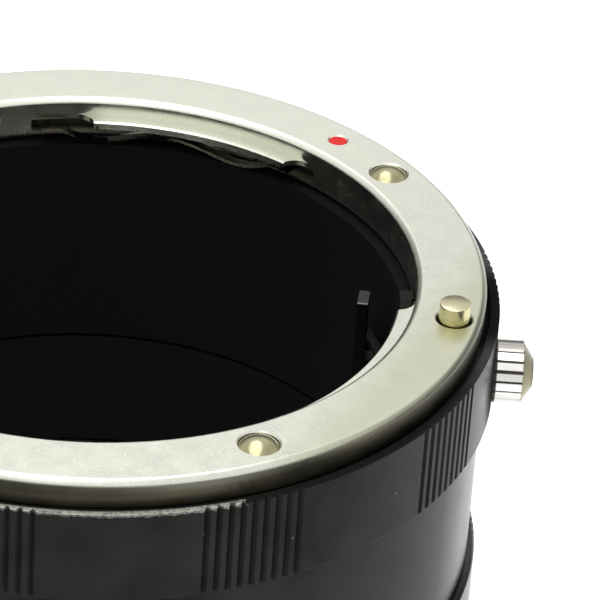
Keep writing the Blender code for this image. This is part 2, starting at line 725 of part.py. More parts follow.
def rear_bayonet(parent):
    """The plated camera-side ring: flange, male barrel and three outward lugs."""
    profile = [
        (MALE_BORE_R, 0.0), (MALE_R - EDGE_CHAMFER, 0.0), (MALE_R, EDGE_CHAMFER),
        (MALE_R, BAYONET_REACH), (REAR_FLANGE_R, BAYONET_REACH), (REAR_FLANGE_R, REAR_FLANGE_TOP),
        (MALE_BORE_R, REAR_FLANGE_TOP),
    ]
    ring = finish("rear_bayonet", spun(profile), satin_plate(), parent)
    inner, outer = MALE_R - MALE_WALL / 2, MALE_R + LUG_REACH
    rib = [
        (inner, LUG_DROP), (outer - TAB_CHAMFER, LUG_DROP), (outer, LUG_DROP + TAB_CHAMFER),
        (outer, LUG_DROP + LUG_T), (inner, LUG_DROP + LUG_T),
    ]
    lugs = apply_shape(ring, "lugs", spun(rib), "UNION")
    keep = [
        sector(inner - OVERCUT, outer + OVERCUT, middle - LUG_WIDTH / 2, middle + LUG_WIDTH / 2,
               LUG_DROP - OVERCUT, LUG_DROP + LUG_T + OVERCUT)
        for middle in LUGS
    ]
    apply_shape(lugs, "outline", gathered(keep), "INTERSECT")

    holes = [
        cylinder(CAMERA_LOCK_R, BAYONET_REACH - OVERCUT, REAR_FLANGE_TOP + OVERCUT,
                 polar(REAR_SCREW_ORBIT, CAMERA_LOCK_ANGLE))
    ]
    step_z = BAYONET_REACH + HEAD_SINK + REAR_HEAD_T + GAP
    for angle in REAR_SCREWS:
        stepped = [
            (0.0, BAYONET_REACH - OVERCUT), (HEAD_R + GAP, BAYONET_REACH - OVERCUT),
            (HEAD_R + GAP, step_z), (SHANK_R + GAP, step_z),
            (SHANK_R + GAP, REAR_FLANGE_TOP + OVERCUT), (0.0, REAR_FLANGE_TOP + OVERCUT),
        ]
        holes.append(spun(stepped, SMALL_FACETS, Matrix.Translation(polar(REAR_SCREW_ORBIT, angle))))
    apply_shape(ring, "holes", gathered(holes))


def rear_screws(parent):
    """Four flat screws let into the camera-side flange, with crossed slots."""
    low = BAYONET_REACH + HEAD_SINK
    top = low + REAR_SHANK_L + REAR_HEAD_T
    for number, angle in enumerate(REAR_SCREWS, 1):
        profile = [
            (0.0, low), (HEAD_R, low), (HEAD_R, low + REAR_HEAD_T),
            (SHANK_R, low + REAR_HEAD_T), (SHANK_R, top), (0.0, top),
        ]
        place = Matrix.Translation(polar(REAR_SCREW_ORBIT, angle))
        screw = finish(f"rear_screw_{number}", spun(profile, SMALL_FACETS, place), bright_chrome(), parent)
        reach = HEAD_R - GAP
        for turn in (0, 1):
            spin = place @ Matrix.Rotation(math.pi / 2 * turn, 4, "Z")
            bar = placed_box(spin, -reach, reach, SLOT_W / 2)
            apply_shape(screw, f"slot_{turn}", prism(bar, low - OVERCUT, low + SLOT_DEPTH))


def rear_light_trap(parent):
    """The dark funnel inside the camera-side ring."""
    low = REAR_FLANGE_TOP + GAP
    high = BAFFLE_TOP - BAFFLE_L - GAP
    outer = REAR_BORE_R - GAP
    mouth = MALE_BORE_R + TRAP_INSET
    profile = [
        (mouth, low), (outer, low), (outer, high), (outer - TRAP_TOP_WALL, high),
        (mouth, low + TRAP_FOOT_H),
    ]
    finish("rear_light_trap", spun(profile), matt_black(), parent)


def moved_to(parent, shape):
    """Shifts a shape drawn about the optical axis to the lock's own origin."""
    bmesh.ops.translate(shape, verts=shape.verts[:], vec=-parent.location)
    return shape


def lock_pin(parent):
    """The round pin: it stands out of the face, and its collar stops it under the flange."""
    top = FACE_Z + PIN_PROUD
    collar_top = FLANGE_Z - GAP
    shoulder = CARRIAGE_Z + CARRIAGE_H + GAP
    low = shoulder - PIN_SEAT
    profile = [
        (0.0, low), (PIN_TAIL_R, low), (PIN_TAIL_R, shoulder), (PIN_R, shoulder),
        (PIN_R, collar_top - PIN_COLLAR_T),
        (PIN_COLLAR_R, collar_top - PIN_COLLAR_T), (PIN_COLLAR_R, collar_top), (PIN_R, collar_top),
        (PIN_R, top - PIN_EDGE), (PIN_R - PIN_EDGE, top), (0.0, top),
    ]
    place = Matrix.Translation(pin_place())
    finish("lock_pin", moved_to(parent, spun(profile, SMALL_FACETS, place)), brass_plate(), parent)


def lock_carriage(parent):
    """The curved block in the barrel wall that joins pin, spring and knob."""
    top = CARRIAGE_Z + CARRIAGE_H
    block = sector(CARRIAGE_BORE_R, CARRIAGE_R, *CARRIAGE_SPAN, CARRIAGE_Z, top)
    carriage = finish("lock_carriage", moved_to(parent, block), dark_steel(), parent)
    hole = cylinder(PIN_TAIL_R + GAP, top - PIN_SEAT, top + OVERCUT, pin_place())
    start = CARRIAGE_R - STEM_IN - GAP
    bore = [
        (0.0, 0.0), (STEM_R + GAP, 0.0), (STEM_R + GAP, STEM_IN + OVERCUT), (0.0, STEM_IN + OVERCUT),
    ]
    apply_shape(carriage, "pin_seat", moved_to(parent, hole))
    stem_hole = spun(bore, SMALL_FACETS, radial_frame(0.0, KNOB_Z, start))
    apply_shape(carriage, "stem_seat", moved_to(parent, stem_hole))


def knob_stem(parent):
    """The screw that passes through the barrel's slot into the knob."""
    start = CARRIAGE_R - STEM_IN
    length = KNOB_BASE_R + KNOB_BORE_L - GAP - start
    profile = [(0.0, 0.0), (STEM_R, 0.0), (STEM_R, length), (0.0, length)]
    stem = spun(profile, SMALL_FACETS, radial_frame(0.0, KNOB_Z, start))
    finish("knob_stem", moved_to(parent, stem), dark_steel(), parent)


def fluted_outline():
    """The knob's section: straight flutes round a circle."""
    outline = []
    pitch = 360.0 / KNOB_FLUTES
    groove = pitch * FLUTE_SHARE
    for index in range(KNOB_FLUTES):
        middle = index * pitch
        outline.append(polar(KNOB_R, middle - groove / 2))
        outline.append(polar(KNOB_R - FLUTE_DEPTH, middle - groove / 6))
        outline.append(polar(KNOB_R - FLUTE_DEPTH, middle + groove / 6))
        outline.append(polar(KNOB_R, middle + groove / 2))
    return outline


def lock_knob(parent):
    """The bright knob: fluted, coned at its outer end, bored for its stem."""
    place = radial_frame(0.0, KNOB_Z, KNOB_BASE_R)
    fluted = prism(fluted_outline(), 0.0, KNOB_L)
    bmesh.ops.transform(fluted, matrix=place, verts=fluted.verts[:])
    knob = finish("lock_knob", moved_to(parent, fluted), bright_chrome(), parent)
    wide = KNOB_R + OVERCUT
    lean = (KNOB_R - KNOB_END_R) / KNOB_CONE_L
    past = KNOB_END_R / 2
    cone = [
        (0.0, -OVERCUT), (wide, -OVERCUT), (wide, KNOB_L - KNOB_CONE_L - OVERCUT / lean),
        (KNOB_END_R - past, KNOB_L + past / lean), (0.0, KNOB_L + past / lean),
    ]
    crop = spun(cone, 2 * KNOB_FLUTES, place)
    apply_shape(knob, "cone", moved_to(parent, crop), "INTERSECT")
    bore = [(0.0, -OVERCUT), (STEM_R + GAP, -OVERCUT), (STEM_R + GAP, KNOB_BORE_L), (0.0, KNOB_BORE_L)]
    apply_shape(knob, "bore", moved_to(parent, spun(bore, SMALL_FACETS, place)))


def lock_spring(parent):
    """The compression spring below the carriage, a round wire on a helix."""
    curve = bpy.data.curves.new("lock_spring", "CURVE")
    curve.dimensions = "3D"
    curve.bevel_depth = SPRING_WIRE_R
    curve.bevel_resolution = 1
    curve.use_fill_caps = True
    count = SPRING_TURNS * SPRING_STEPS
    spline = curve.splines.new("POLY")
    spline.points.add(count)
    rise = SPRING_L - 2 * SPRING_WIRE_R
    for i, point in enumerate(spline.points):
        turn = polar(SPRING_R, 360.0 * i / SPRING_STEPS)
        height = SPRING_TOP - SPRING_L + SPRING_WIRE_R + rise * i / count
        point.co = (turn.x, turn.y, height, 1.0)
    curve.materials.append(spring_steel())
    made = bpy.data.objects.new("lock_spring", curve)
    made.parent = parent
    bpy.context.scene.collection.objects.link(made)


def spring_guide(parent):
    """The short pin that keeps the lock's spring upright in its pocket."""
    low = POCKET_Z + GAP
    guide = cylinder(GUIDE_R, low, low + GUIDE_L, pin_place())
    finish("spring_guide", guide, dark_steel(), parent)


def main():
    for old in list(bpy.data.objects):
        bpy.data.objects.remove(old)
    camera_side = anchor("camera_side", None, (AXIS_X, 0.0, 0.0))
    lens_side = anchor("lens_side", camera_side, (0.0, 0.0, 0.0))
    lens_lock = anchor("lens_lock", lens_side, pin_place())

    rear_bayonet(camera_side)
    rear_screws(camera_side)
    rear_barrel(camera_side)
    rear_light_trap(camera_side)

    front_barrel(lens_side)
    light_baffle(lens_side)
    lens_bayonet(lens_side)
    lens_screws(lens_side)
    index_dot(lens_side)
    leaf_springs(lens_side)
    aperture_post(lens_side)
    spring_guide(lens_side)

    lock_pin(lens_lock)
    lock_carriage(lens_lock)
    knob_stem(lens_lock)
    lock_knob(lens_lock)
    lock_spring(lens_lock)


main()
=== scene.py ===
"""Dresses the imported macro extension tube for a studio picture.

Each visible piece is modelled again over its solid with finer facets, worked edges and a
detailed finish. The camera stands where the photograph was taken from.
"""

import math

import bpy
from mathutils import Matrix, Vector


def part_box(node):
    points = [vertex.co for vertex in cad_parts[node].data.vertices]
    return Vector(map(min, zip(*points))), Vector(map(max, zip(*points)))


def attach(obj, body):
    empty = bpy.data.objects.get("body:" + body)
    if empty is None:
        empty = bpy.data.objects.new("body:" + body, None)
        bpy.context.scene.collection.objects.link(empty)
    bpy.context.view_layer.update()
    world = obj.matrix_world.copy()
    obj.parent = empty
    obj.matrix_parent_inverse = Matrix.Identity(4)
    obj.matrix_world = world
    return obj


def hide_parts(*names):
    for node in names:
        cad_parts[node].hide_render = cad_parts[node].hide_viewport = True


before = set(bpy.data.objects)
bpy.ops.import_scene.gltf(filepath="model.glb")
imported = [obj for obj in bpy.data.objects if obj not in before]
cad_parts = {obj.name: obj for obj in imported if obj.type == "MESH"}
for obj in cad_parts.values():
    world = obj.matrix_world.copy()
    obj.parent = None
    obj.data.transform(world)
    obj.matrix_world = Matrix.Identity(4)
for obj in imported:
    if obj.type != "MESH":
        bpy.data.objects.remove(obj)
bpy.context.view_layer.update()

bl_info = {
    "name": "Macro Extension Tube",
    "version": (1, 0, 0),
    "blender": (4, 5, 0),
    "location": "View3D > Sidebar > Tube",
    "description": "Builds the visible pieces, finishes and studio of a macro extension tube",
    "category": "Object",
}

MM = 0.001
MERGE = 1e-6  # points closer than this are one
OVERCUT = 1.0 * MM  # how far a cutter runs past what it cuts
UP = Vector((0.0, 0.0, 1.0))
DOWN = Vector((0.0, 0.0, -1.0))  # spin turns anticlockwise, seen from above, about this axis


def middle(name):
    """Middle of a solid's box."""
    low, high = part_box(name)
    return (low + high) / 2


# Places read from the solids
FACE_LOW, FACE_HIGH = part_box("lens_bayonet")
BARREL_LOW, BARREL_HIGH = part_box("front_barrel")
REAR_LOW, REAR_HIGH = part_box("rear_barrel")
BAFFLE_LOW, BAFFLE_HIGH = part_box("light_baffle")
TRAP_LOW, TRAP_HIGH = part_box("rear_light_trap")
KNOB_LOW, KNOB_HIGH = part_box("lock_knob")
PIN_LOW, PIN_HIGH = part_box("lock_pin")
CAMERA_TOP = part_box("rear_bayonet")[1].z
POST_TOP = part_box("aperture_post")[1].z

AXIS_X = (FACE_LOW.x + FACE_HIGH.x) / 2
AXIS = Matrix.Translation((AXIS_X, 0.0, 0.0))
FACE_Z = FACE_HIGH.z
SKIRT_Z = FACE_LOW.z
RIM_R = (FACE_HIGH.x - FACE_LOW.x) / 2
GRIP_R = (BARREL_HIGH.x - BARREL_LOW.x) / 2
GRIP_TOP = BARREL_HIGH.z
BODY_Z = BARREL_LOW.z
REAR_R = (REAR_HIGH.x - REAR_LOW.x) / 2
KNOB_R = (KNOB_HIGH.z - KNOB_LOW.z) / 2
KNOB_Z = middle("lock_knob").z
KNOB_FOOT = KNOB_LOW.x - AXIS_X

# Sizes that more than one piece or finish goes by
BAFFLE_STEP = 0.95 * MM  # throat to the sleeve's bore
BAFFLE_WALL = 1.1 * MM
BAFFLE_LIP = 0.8 * MM  # height of the sleeve's lip
THREAD_STEP = 1.8 * MM  # body to thread, and thread to bore
KNOB_CONE = 0.95 * MM  # length of the knob's cone
LEAF_W = 0.95 * MM
LOCK_STROKE = 1.7 * MM
SCREW_HOLE_R = 1.15 * MM
SCREW_HOLE_FACETS = 20
SCREWS = range(1, 5)  # numbers of each ring's screws


def length_prop(name, description, millimetres):
    """A length that a user can change."""
    return bpy.props.FloatProperty(
        name=name, description=description, default=millimetres * MM, unit="LENGTH")


def number_prop(name, description, default):
    """A plain number that a user can change."""
    return bpy.props.FloatProperty(name=name, description=description, default=default)


def angle_prop(name, description, degrees):
    """An angle that a user can change."""
    return bpy.props.FloatProperty(
        name=name, description=description, default=math.radians(degrees), subtype="ANGLE")


def colour_prop(name, description, default):
    """A colour that a user can change."""
    return bpy.props.FloatVectorProperty(
        name=name, description=description, default=default, size=3, subtype="COLOR", min=0, max=1)


class TubeSizes(bpy.types.PropertyGroup):
    """Sizes of the visible pieces that their solids' boxes don't give."""

    ring_facets: bpy.props.IntProperty(
        name="Ring facets", description="Facets round the large rings", default=192, min=48)
    small_facets: bpy.props.IntProperty(
        name="Small facets", description="Facets round screws, dots and pin", default=40, min=16)
    ease: length_prop("Edge", "Rounding of the machined edges", 0.06)
    face_ease: length_prop("Face edge", "Rounding of the plated face's edges", 0.17)
    throat_r: length_prop("Throat", "Radius of the lens throat", 27.05)
    rim_chamfer: length_prop("Rim chamfer", "Chamfer round the plated face", 0.42)
    throat_chamfer: length_prop("Throat chamfer", "Chamfer at the throat", 0.4)
    flange_t: length_prop("Flange", "Thickness of the plated flange", 2.5)
    skirt_wall: length_prop("Skirt", "Wall of the skirt inside the barrel", 1.2)
    tab_reach: length_prop("Tab reach", "How far a tab stands into the throat", 1.43)
    tab_drop: length_prop("Tab drop", "Face to the top of a tab", 1.54)
    tab_t: length_prop("Tab thickness", "Thickness of a tab", 0.7)
    tab_end_r: length_prop("Tab end", "Radius that the cutter leaves at a tab's ends", 1.75)
    window_drop: length_prop("Window drop", "Face to the top of a skirt window", 2.0)
    window_h: length_prop("Window height", "Height of a skirt window", 1.4)
    knurl_w: length_prop("Groove", "Width of a grip groove", 0.56)
    knurl_depth: length_prop("Groove depth", "Depth of a grip groove", 0.42)
    knurl_pitch: angle_prop("Groove pitch", "Angle between grooves", 1.66)
    grip_h: length_prop("Grip height", "Height of the front grip", 8.2)
    grip_step: length_prop("Grip step", "Step from the grip in to the body", 0.85)
    gap: length_prop("Gap", "Clearance between pieces", 0.3)


class TubeFinishes(bpy.types.PropertyGroup):
    """Colours of the finishes."""

    plate: colour_prop("Plate", "Satin plate of the bayonet rings", (0.72, 0.73, 0.635))
    black: colour_prop("Black", "Anodised barrel", (0.0215, 0.021, 0.0201))
    matt: colour_prop("Matt black", "Light baffles", (0.0032, 0.0032, 0.0033))
    brass: colour_prop("Brass", "Pin and face screws", (0.42, 0.39, 0.23))
    chrome: colour_prop("Chrome", "Knob and camera-side screws", (0.95, 0.93, 0.89))
    bare: colour_prop("Bare metal", "Metal where the black has worn off", (0.56, 0.56, 0.51))
    index: colour_prop("Index", "Paint of the index dots", (0.7, 0.006, 0.004))


class TubeStudio(bpy.types.PropertyGroup):
    """Camera, floor and light."""

    lens: number_prop("Lens", "Focal length in millimetres on a 36 mm sensor", 231.81)
    elevation: angle_prop("Elevation", "Camera's height above the horizon", 31.88)
    roll: angle_prop("Roll", "Camera's tilt about its own axis", 4.0)
    place: bpy.props.FloatVectorProperty(
        name="Place", description="Camera from the middle of the face",
        default=(17.39 * MM, -274.89 * MM, 168.17 * MM), size=3, unit="LENGTH")
    floor: colour_prop("Floor", "Colour of the floor", (0.88, 0.88, 0.88))
    key: number_prop("Key light", "Watts of the long soft light overhead", 1.9)
    horizon: number_prop("Horizon", "Brightness of the room round the table", 0.25)
    front: number_prop("Front", "Brightness of the room behind the camera", 0.8)


def clear_selection():
    """Object mode with nothing selected."""
    if bpy.context.mode != "OBJECT":
        bpy.ops.object.mode_set(mode="OBJECT")
    bpy.ops.object.select_all(action="DESELECT")


def pick(piece):
    """Selects one piece alone."""
    clear_selection()
    piece.select_set(True)
    bpy.context.view_layer.objects.active = piece


def polar(radius, angle, z=0.0):
    """A point at this radius and angle (radians) from the optical axis."""
    return Vector((AXIS_X + radius * math.cos(angle), radius * math.sin(angle), z))


def drawn(name, points):
    """A chain of edges through the points, left in edit mode with nothing but the chain in it."""
    clear_selection()
    bpy.ops.mesh.primitive_plane_add(size=MM)
    piece = bpy.context.object
    piece.name = name
    piece.data.name = name
    bpy.ops.object.mode_set(mode="EDIT")
    bpy.ops.mesh.merge(type="CENTER")
    bpy.ops.transform.translate(value=points[0])
    for here, there in zip(points, points[1:]):
        bpy.ops.mesh.extrude_region_move(TRANSFORM_OT_translate={"value": there - here})
    bpy.ops.mesh.select_all(action="SELECT")
    return piece


def closed_up():
    """Merges what coincides, turns all faces outwards and leaves edit mode."""
    bpy.ops.mesh.select_all(action="SELECT")
    bpy.ops.mesh.remove_doubles(threshold=MERGE)
    bpy.ops.mesh.normals_make_consistent(inside=False)
    bpy.ops.object.mode_set(mode="OBJECT")


def turned(name, outline, place=AXIS, facets=0):
    """A turned piece: its outline in radius and height, spun about the placed Z axis."""
    sizes = bpy.context.scene.tube_sizes
    facets = facets or (sizes.ring_facets if place is AXIS else sizes.small_facets)
    points = [place @ Vector((radius, 0.0, height)) for radius, height in outline]
    if outline[0][0] > 0.0:
        points.append(points[0])
    piece = drawn(name, points)
    bpy.ops.mesh.spin(
        steps=facets, angle=math.tau, center=place.translation, axis=place.to_3x3() @ UP)
    closed_up()
    return piece


def slab(name, outline, low, high):
    """A flat outline raised between two heights."""
    points = [Vector((point[0], point[1], low)) for point in outline]
    piece = drawn(name, points + points[:1])
    bpy.ops.mesh.remove_doubles(threshold=MERGE)
    bpy.ops.mesh.edge_face_add()
    bpy.ops.mesh.extrude_region_move(TRANSFORM_OT_translate={"value": (0.0, 0.0, high - low)})
    closed_up()
    return piece


def combine(piece, tool, operation="DIFFERENCE"):
    """Cuts, joins or crops a piece with a tool, which is used up."""
    pick(piece)
    bpy.ops.object.modifier_add(type="BOOLEAN")
    modifier = piece.modifiers[-1]
    modifier.operation = operation
    modifier.solver = "EXACT"
    modifier.object = tool
    bpy.ops.object.modifier_apply(modifier=modifier.name)
    bpy.data.meshes.remove(tool.data)


def is_closed(piece):
    """True where every edge has exactly two faces."""
    uses = {}
    for face in piece.data.polygons:
        for edge in face.edge_keys:
            uses[edge] = uses.get(edge, 0) + 1
    return all(count == 2 for count in uses.values())


def dressed(piece, body, name, *nodes, sharp=30.0):
    """Shades a piece, gives it its finish and puts it on its body in place of its solids."""
    pick(piece)
    bpy.ops.object.shade_smooth_by_angle(angle=math.radians(sharp))
    bpy.ops.object.modifier_add(type="WEIGHTED_NORMAL")
    even = piece.modifiers[-1]
    even.keep_sharp = True
    bpy.ops.object.modifier_apply(modifier=even.name)
    if not is_closed(piece):
        raise RuntimeError(f"{piece.name} isn't closed")
    piece.data.materials.clear()
    piece.data.materials.append(finish(name))
    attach(piece, body)
    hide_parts(*nodes)


def eased(outline, ease):
    """Rounds each corner of a closed outline that turns sharply, in three short facets."""
    made = []
    count = len(outline)
    for index, corner in enumerate(outline):
        here = Vector(corner)
        before = Vector(outline[index - 1]) - here
        after = Vector(outline[(index + 1) % count]) - here
        reach = min(ease, before.length / 3, after.length / 3)
        if before.angle(after) > math.radians(150):
            made.append(corner)
            continue
        start = here + before.normalized() * reach
        end = here + after.normalized() * reach
        for share in (0.0, 1 / 3, 2 / 3, 1.0):
            point = start * (1 - share) ** 2 + here * 2 * share * (1 - share) + end * share ** 2
            made.append(tuple(point))
    return made


def arc(radius, start, end, step=math.radians(1.5)):
    """Points along an arc about the optical axis, both ends among them."""
    count = max(2, math.ceil(abs(end - start) / step))
    return [polar(radius, start + (end - start) * i / count) for i in range(count + 1)]


def sector(inner, outer, start, end, low, high):
    """A piece of a ring between two angles."""
    return slab("sector", arc(inner, start, end) + arc(outer, end, start), low, high)


def drilled(piece, radius, low, high, place, facets=0):
    """Cuts a round hole into a piece, between two heights on the placed Z axis."""
    hole = [(0.0, low), (radius, low), (radius, high), (0.0, high)]
    combine(piece, turned("hole", hole, place, facets))


def upright(point):
    """A place for a small turned piece that stands on the face."""
    return Matrix.Translation((point.x, point.y, 0.0))


def outward(angle, radius, z):
    """A place whose Z points away from the optical axis."""
    turn = Matrix.Rotation(angle, 4, "Z") @ Matrix.Rotation(math.pi / 2, 4, "Y")
    return Matrix.Translation(polar(radius, angle, z)) @ turn


# Finishes

class Value:
    """A node's output. Sums with it add Math nodes to its tree."""

    def __init__(self, socket):
        self.socket = socket
        self.tree = socket.id_data

    def calculate(self, operation, *values):
        """A Math node on values and plain numbers."""
        return node(
            self.tree, "Math", "Value", dict(enumerate(values)), operation=operation)

    def __add__(self, other):
        return self.calculate("ADD", self, other)

    def __sub__(self, other):
        return self.calculate("SUBTRACT", self, other)

    def __mul__(self, other):
        return self.calculate("MULTIPLY", self, other)

    def opposite(self):
        """0 where it is 1, and 1 where it is 0."""
        return self.calculate("SUBTRACT", 1.0, self)

    def above(self, limit):
        """1 where it lies above the limit."""
        return self.calculate("GREATER_THAN", self, limit)

    def larger(self, other):
        """The larger of two."""
        return self.calculate("MAXIMUM", self, other)

    def remap(self, low, high, to_low=0.0, to_high=1.0, kind="LINEAR"):
        """Stretches part of its range, clamped at both ends."""
        ends = {"From Min": low, "From Max": high, "To Min": to_low, "To Max": to_high}
        return node(
            self.tree, "MapRange", "Result", {"Value": self, **ends}, clamp=True,
            interpolation_type=kind)

    def fading(self, low, high, most=1.0, kind="LINEAR"):
        """Falls to nothing between two values."""
        return self.remap(low, high, most, 0.0, kind)

    def span(self, rise, fall, most=1.0):
        """For a bearing: rises between the first two degrees and falls between the last two."""
        start = self.remap(math.radians(rise[0]), math.radians(rise[1]), 0.0, most)
        return start * self.fading(math.radians(fall[0]), math.radians(fall[1]))


def node(tree, kind, output, inputs, **settings):
    """A new shader node with its inputs linked or set, as the value of one output."""
    made = tree.nodes.new("ShaderNode" + kind)
    for name, setting in settings.items():
        setattr(made, name, setting)
    for name, value in inputs.items():
        give(made.inputs[name], value)
    return Value(made.outputs[output])


def give(socket, value):
    """Links a value to a socket, or sets a plain number or colour on it."""
    if isinstance(value, Value):
        value.tree.links.new(value.socket, socket)
    elif isinstance(value, (int, float)):
        socket.default_value = value
    else:
        socket.default_value = (*value, 1.0)


def blend(share, first, second):
    """A colour between two."""
    return node(
        share.tree, "Mix", 2, {"Factor": share, 6: first, 7: second}, data_type="RGBA")


def parts(vector):
    """The three parts of a vector."""
    made = node(vector.tree, "SeparateXYZ", "X", {"Vector": vector}).socket.node
    return [Value(output) for output in made.outputs]


def reach_of(first, second):
    """Length of the arm whose two parts are given."""
    total = first * first + second * second
    return total.calculate("SQRT", total)


def bearing_of(x, y):
    """Angle round the optical axis, from the knob."""
    return y.calculate("ARCTAN2", y, x)


def shade(colour, factor):
    """A colour made lighter or darker."""
    return tuple(min(1.0, channel * factor) for channel in colour)


class Finish:
    """A material that is fed from Object coordinates, measured from the optical axis."""

    def __init__(self, name):
        self.material = bpy.data.materials.new(name)
        self.material.use_nodes = True
        self.tree = self.material.node_tree
        source = node(self.tree, "TexCoord", "Object", {})
        self.where = node(self.tree, "Mapping", "Vector", {"Vector": source})
        self.where.socket.node.inputs["Location"].default_value = (-AXIS_X, 0.0, 0.0)

    def feed(self, inputs):
        """Feeds the shader's sockets."""
        for name, value in inputs.items():
            give(self.tree.nodes["Principled BSDF"].inputs[name], value)

    def noise(self, scale, detail=3.0, roughness=0.55):
        """A noise value; scale is in features per metre."""
        inputs = {"Vector": self.where, "Scale": scale, "Detail": detail, "Roughness": roughness}
        return node(self.tree, "TexNoise", "Fac", inputs)

    def specks(self, scale, size, share):
        """Sparse dots: 1 inside a speck. Share is the part of the cells that hold one."""
        away = node(
            self.tree, "TexVoronoi", "Distance", {"Vector": self.where, "Scale": scale})
        cell = Value(away.socket.node.outputs["Color"])
        chosen = node(self.tree, "SeparateColor", "Red", {"Color": cell})
        return away.fading(size * 0.6, size) * chosen.above(1.0 - share)

    def facing_up(self):
        """How far the surface faces up: 1 for a level top, 0 for a wall."""
        return parts(node(self.tree, "NewGeometry", "Normal", {}))[2]

    def sideways(self, most=1.0):
        """Its most on walls, 0 on what faces up."""
        return self.facing_up().fading(0.3, 0.6, most)

    def finished(self, colour, roughness, grain, depth, metallic=0.0, specular=0.5):
        """Feeds the shader, with a relief of this depth, and hands over the material."""
        relief = {"Strength": 1.0, "Distance": depth, "Height": grain}
        self.feed({
            "Base Color": colour, "Roughness": roughness, "Metallic": metallic,
            "Specular IOR Level": specular,
            "Normal": node(self.tree, "Bump", "Normal", relief)})
        return self.material


def plate_finish(colours):
    """Satin plate, mottled, grained and stained, painted brighter on the far side, with painted
    shade on the face's right, in the throat and on the rim's front edge, and a painted dark
    reflection on the rim's side.
    """
    made = Finish("satin_plate_finish")
    plate = colours.plate
    mottle = made.noise(420.0, 4.0, 0.6)
    grain = made.noise(5200.0, 2.0)
    stain = made.specks(700.0, 0.12, 0.12)
    colour = blend(mottle.remap(0.35, 0.65), shade(plate, 0.95), plate)
    colour = blend(grain.remap(0.6, 0.72, 0.0, 0.9), colour, shade(plate, 1.3))
    colour = blend(stain * 0.4, colour, shade(plate, 0.6))

    x, y, z = parts(made.where)
    reach, bearing = reach_of(x, y), bearing_of(x, y)
    lens_side = z.above(FACE_Z - 5.0 * MM)
    # painted light: the far side of the face is painted brighter
    colour = blend(y.remap(4.0 * MM, 26.0 * MM) * 0.9, colour, shade(plate, 1.14))
    # painted shade: the face's right front is painted duller and darker
    right = x * 0.9 - y * 0.42
    right_shade = right.remap(25.5 * MM, 29.5 * MM, 0.0, 0.9)
    colour = blend(right_shade, colour, shade((0.69, 0.7, 0.53), 0.85))

    sideways = made.sideways()
    throat = reach.fading(27.15 * MM, 27.25 * MM) * lens_side * sideways
    # painted shade: the far part of the throat's wall is painted dark
    beyond = bearing.remap(math.radians(92.0), math.radians(97.0), 0.0, 0.85)
    colour = blend(throat * beyond, colour, shade(plate, 0.4))
    # painted reflection: the rim's outer wall is painted dark olive, more so lower down, for the
    # dark lip below it
    rim = reach.remap(RIM_R - 0.08 * MM, RIM_R - 0.03 * MM) * lens_side * sideways
    lower = z.remap(FACE_Z - 1.2 * MM, FACE_Z - 0.45 * MM, 0.95, 0.6)
    colour = blend(rim * lower, colour, (0.17, 0.155, 0.105))
    # painted dark reflection on the rim's chamfer and wall at the front right, strongest low down
    edge = reach.remap(RIM_R - 0.4 * MM, RIM_R - 0.3 * MM) * lens_side
    edge = edge * bearing.span((-62.0, -38.0), (5.0, 30.0), 0.9)
    down = z.remap(FACE_Z - 0.7 * MM, FACE_Z, 1.0, 0.3)
    colour = blend(edge * down, colour, (0.07, 0.065, 0.05))

    rough = mottle.remap(0.3, 0.7, 0.24, 0.34) - throat * 0.04 + rim * 0.12
    return made.finished(colour, rough, grain, 0.006 * MM, 1.0)


def anodised_finish(colours, worn=False):
    """Black anodised metal with a fine blasted grain and dust, worn bare along the grip's lip,
    with painted shade on what faces up and beside the knob, and a painted sheen on the right.
    """
    made = Finish("worn_anodised_finish" if worn else "anodised_finish")
    black = colours.black
    grain = made.noise(6000.0, 2.0)
    cloud = made.noise(260.0)
    dust = made.specks(260.0, 0.035, 0.35)
    up = made.facing_up()
    colour = blend(cloud.remap(0.35, 0.65), black, shade(black, 1.35))
    # painted shade: faces that look up are painted darker
    colour = blend(up.remap(0.3, 0.7), colour, shade(black, 0.45))
    colour = blend(dust * 0.35, colour, (0.35, 0.35, 0.33))

    x, y, z = parts(made.where)
    body = z.calculate("LESS_THAN", z, GRIP_TOP - 8.25 * MM)
    # painted shade: beside the knob the black is made rougher and loses its shine, for the knob's
    # shade
    arm = reach_of(y, z - (KNOB_Z + 2.5 * MM))
    knob_shade = arm.fading(5.2 * MM, 8.6 * MM, kind="SMOOTHSTEP") * x.above(0.0)
    rough = cloud.remap(0.3, 0.7, 0.26, 0.33) - body * 0.08 + knob_shade * 0.4
    # painted sheen: more shine on the barrel's right side
    right_sheen = bearing_of(x, y).span((-24.0, -6.0), (20.0, 50.0), 0.35)
    shine = (up.remap(0.3, 0.7, 0.09, 0.04) + right_sheen) * knob_shade.opposite()
    bare = 0.0
    if worn:
        bare = lip_wear(made)
        wear_and_glint = made.noise(2600.0, 3.0, 0.7)
        metal = blend(wear_and_glint.remap(0.36, 0.56), shade(colours.bare, 0.4), colours.bare)
        colour = blend(bare, colour, metal)
        rough = rough + bare * 0.25
        grain = grain + wear_and_glint * (bare * 8.0)
    return made.finished(colour, rough, grain, 0.005 * MM, bare, shine)


def lip_wear(made):
    """1 where the black has worn off the top of the grip's lip, towards the front."""
    x, y, z = parts(made.where)
    depth = made.noise(2200.0, 3.0, 0.65).remap(0.3, 0.7, 0.12 * MM, 0.34 * MM)
    high = (z - GRIP_TOP + depth).above(0.0)
    outer = reach_of(x, y).remap(GRIP_R - 0.56 * MM, GRIP_R - 0.44 * MM)
    front = bearing_of(x, y).span((-150.0, -135.0), (-70.0, -56.0))
    return high * outer * (made.noise(700.0, 4.0, 0.65) + front).above(1.22)


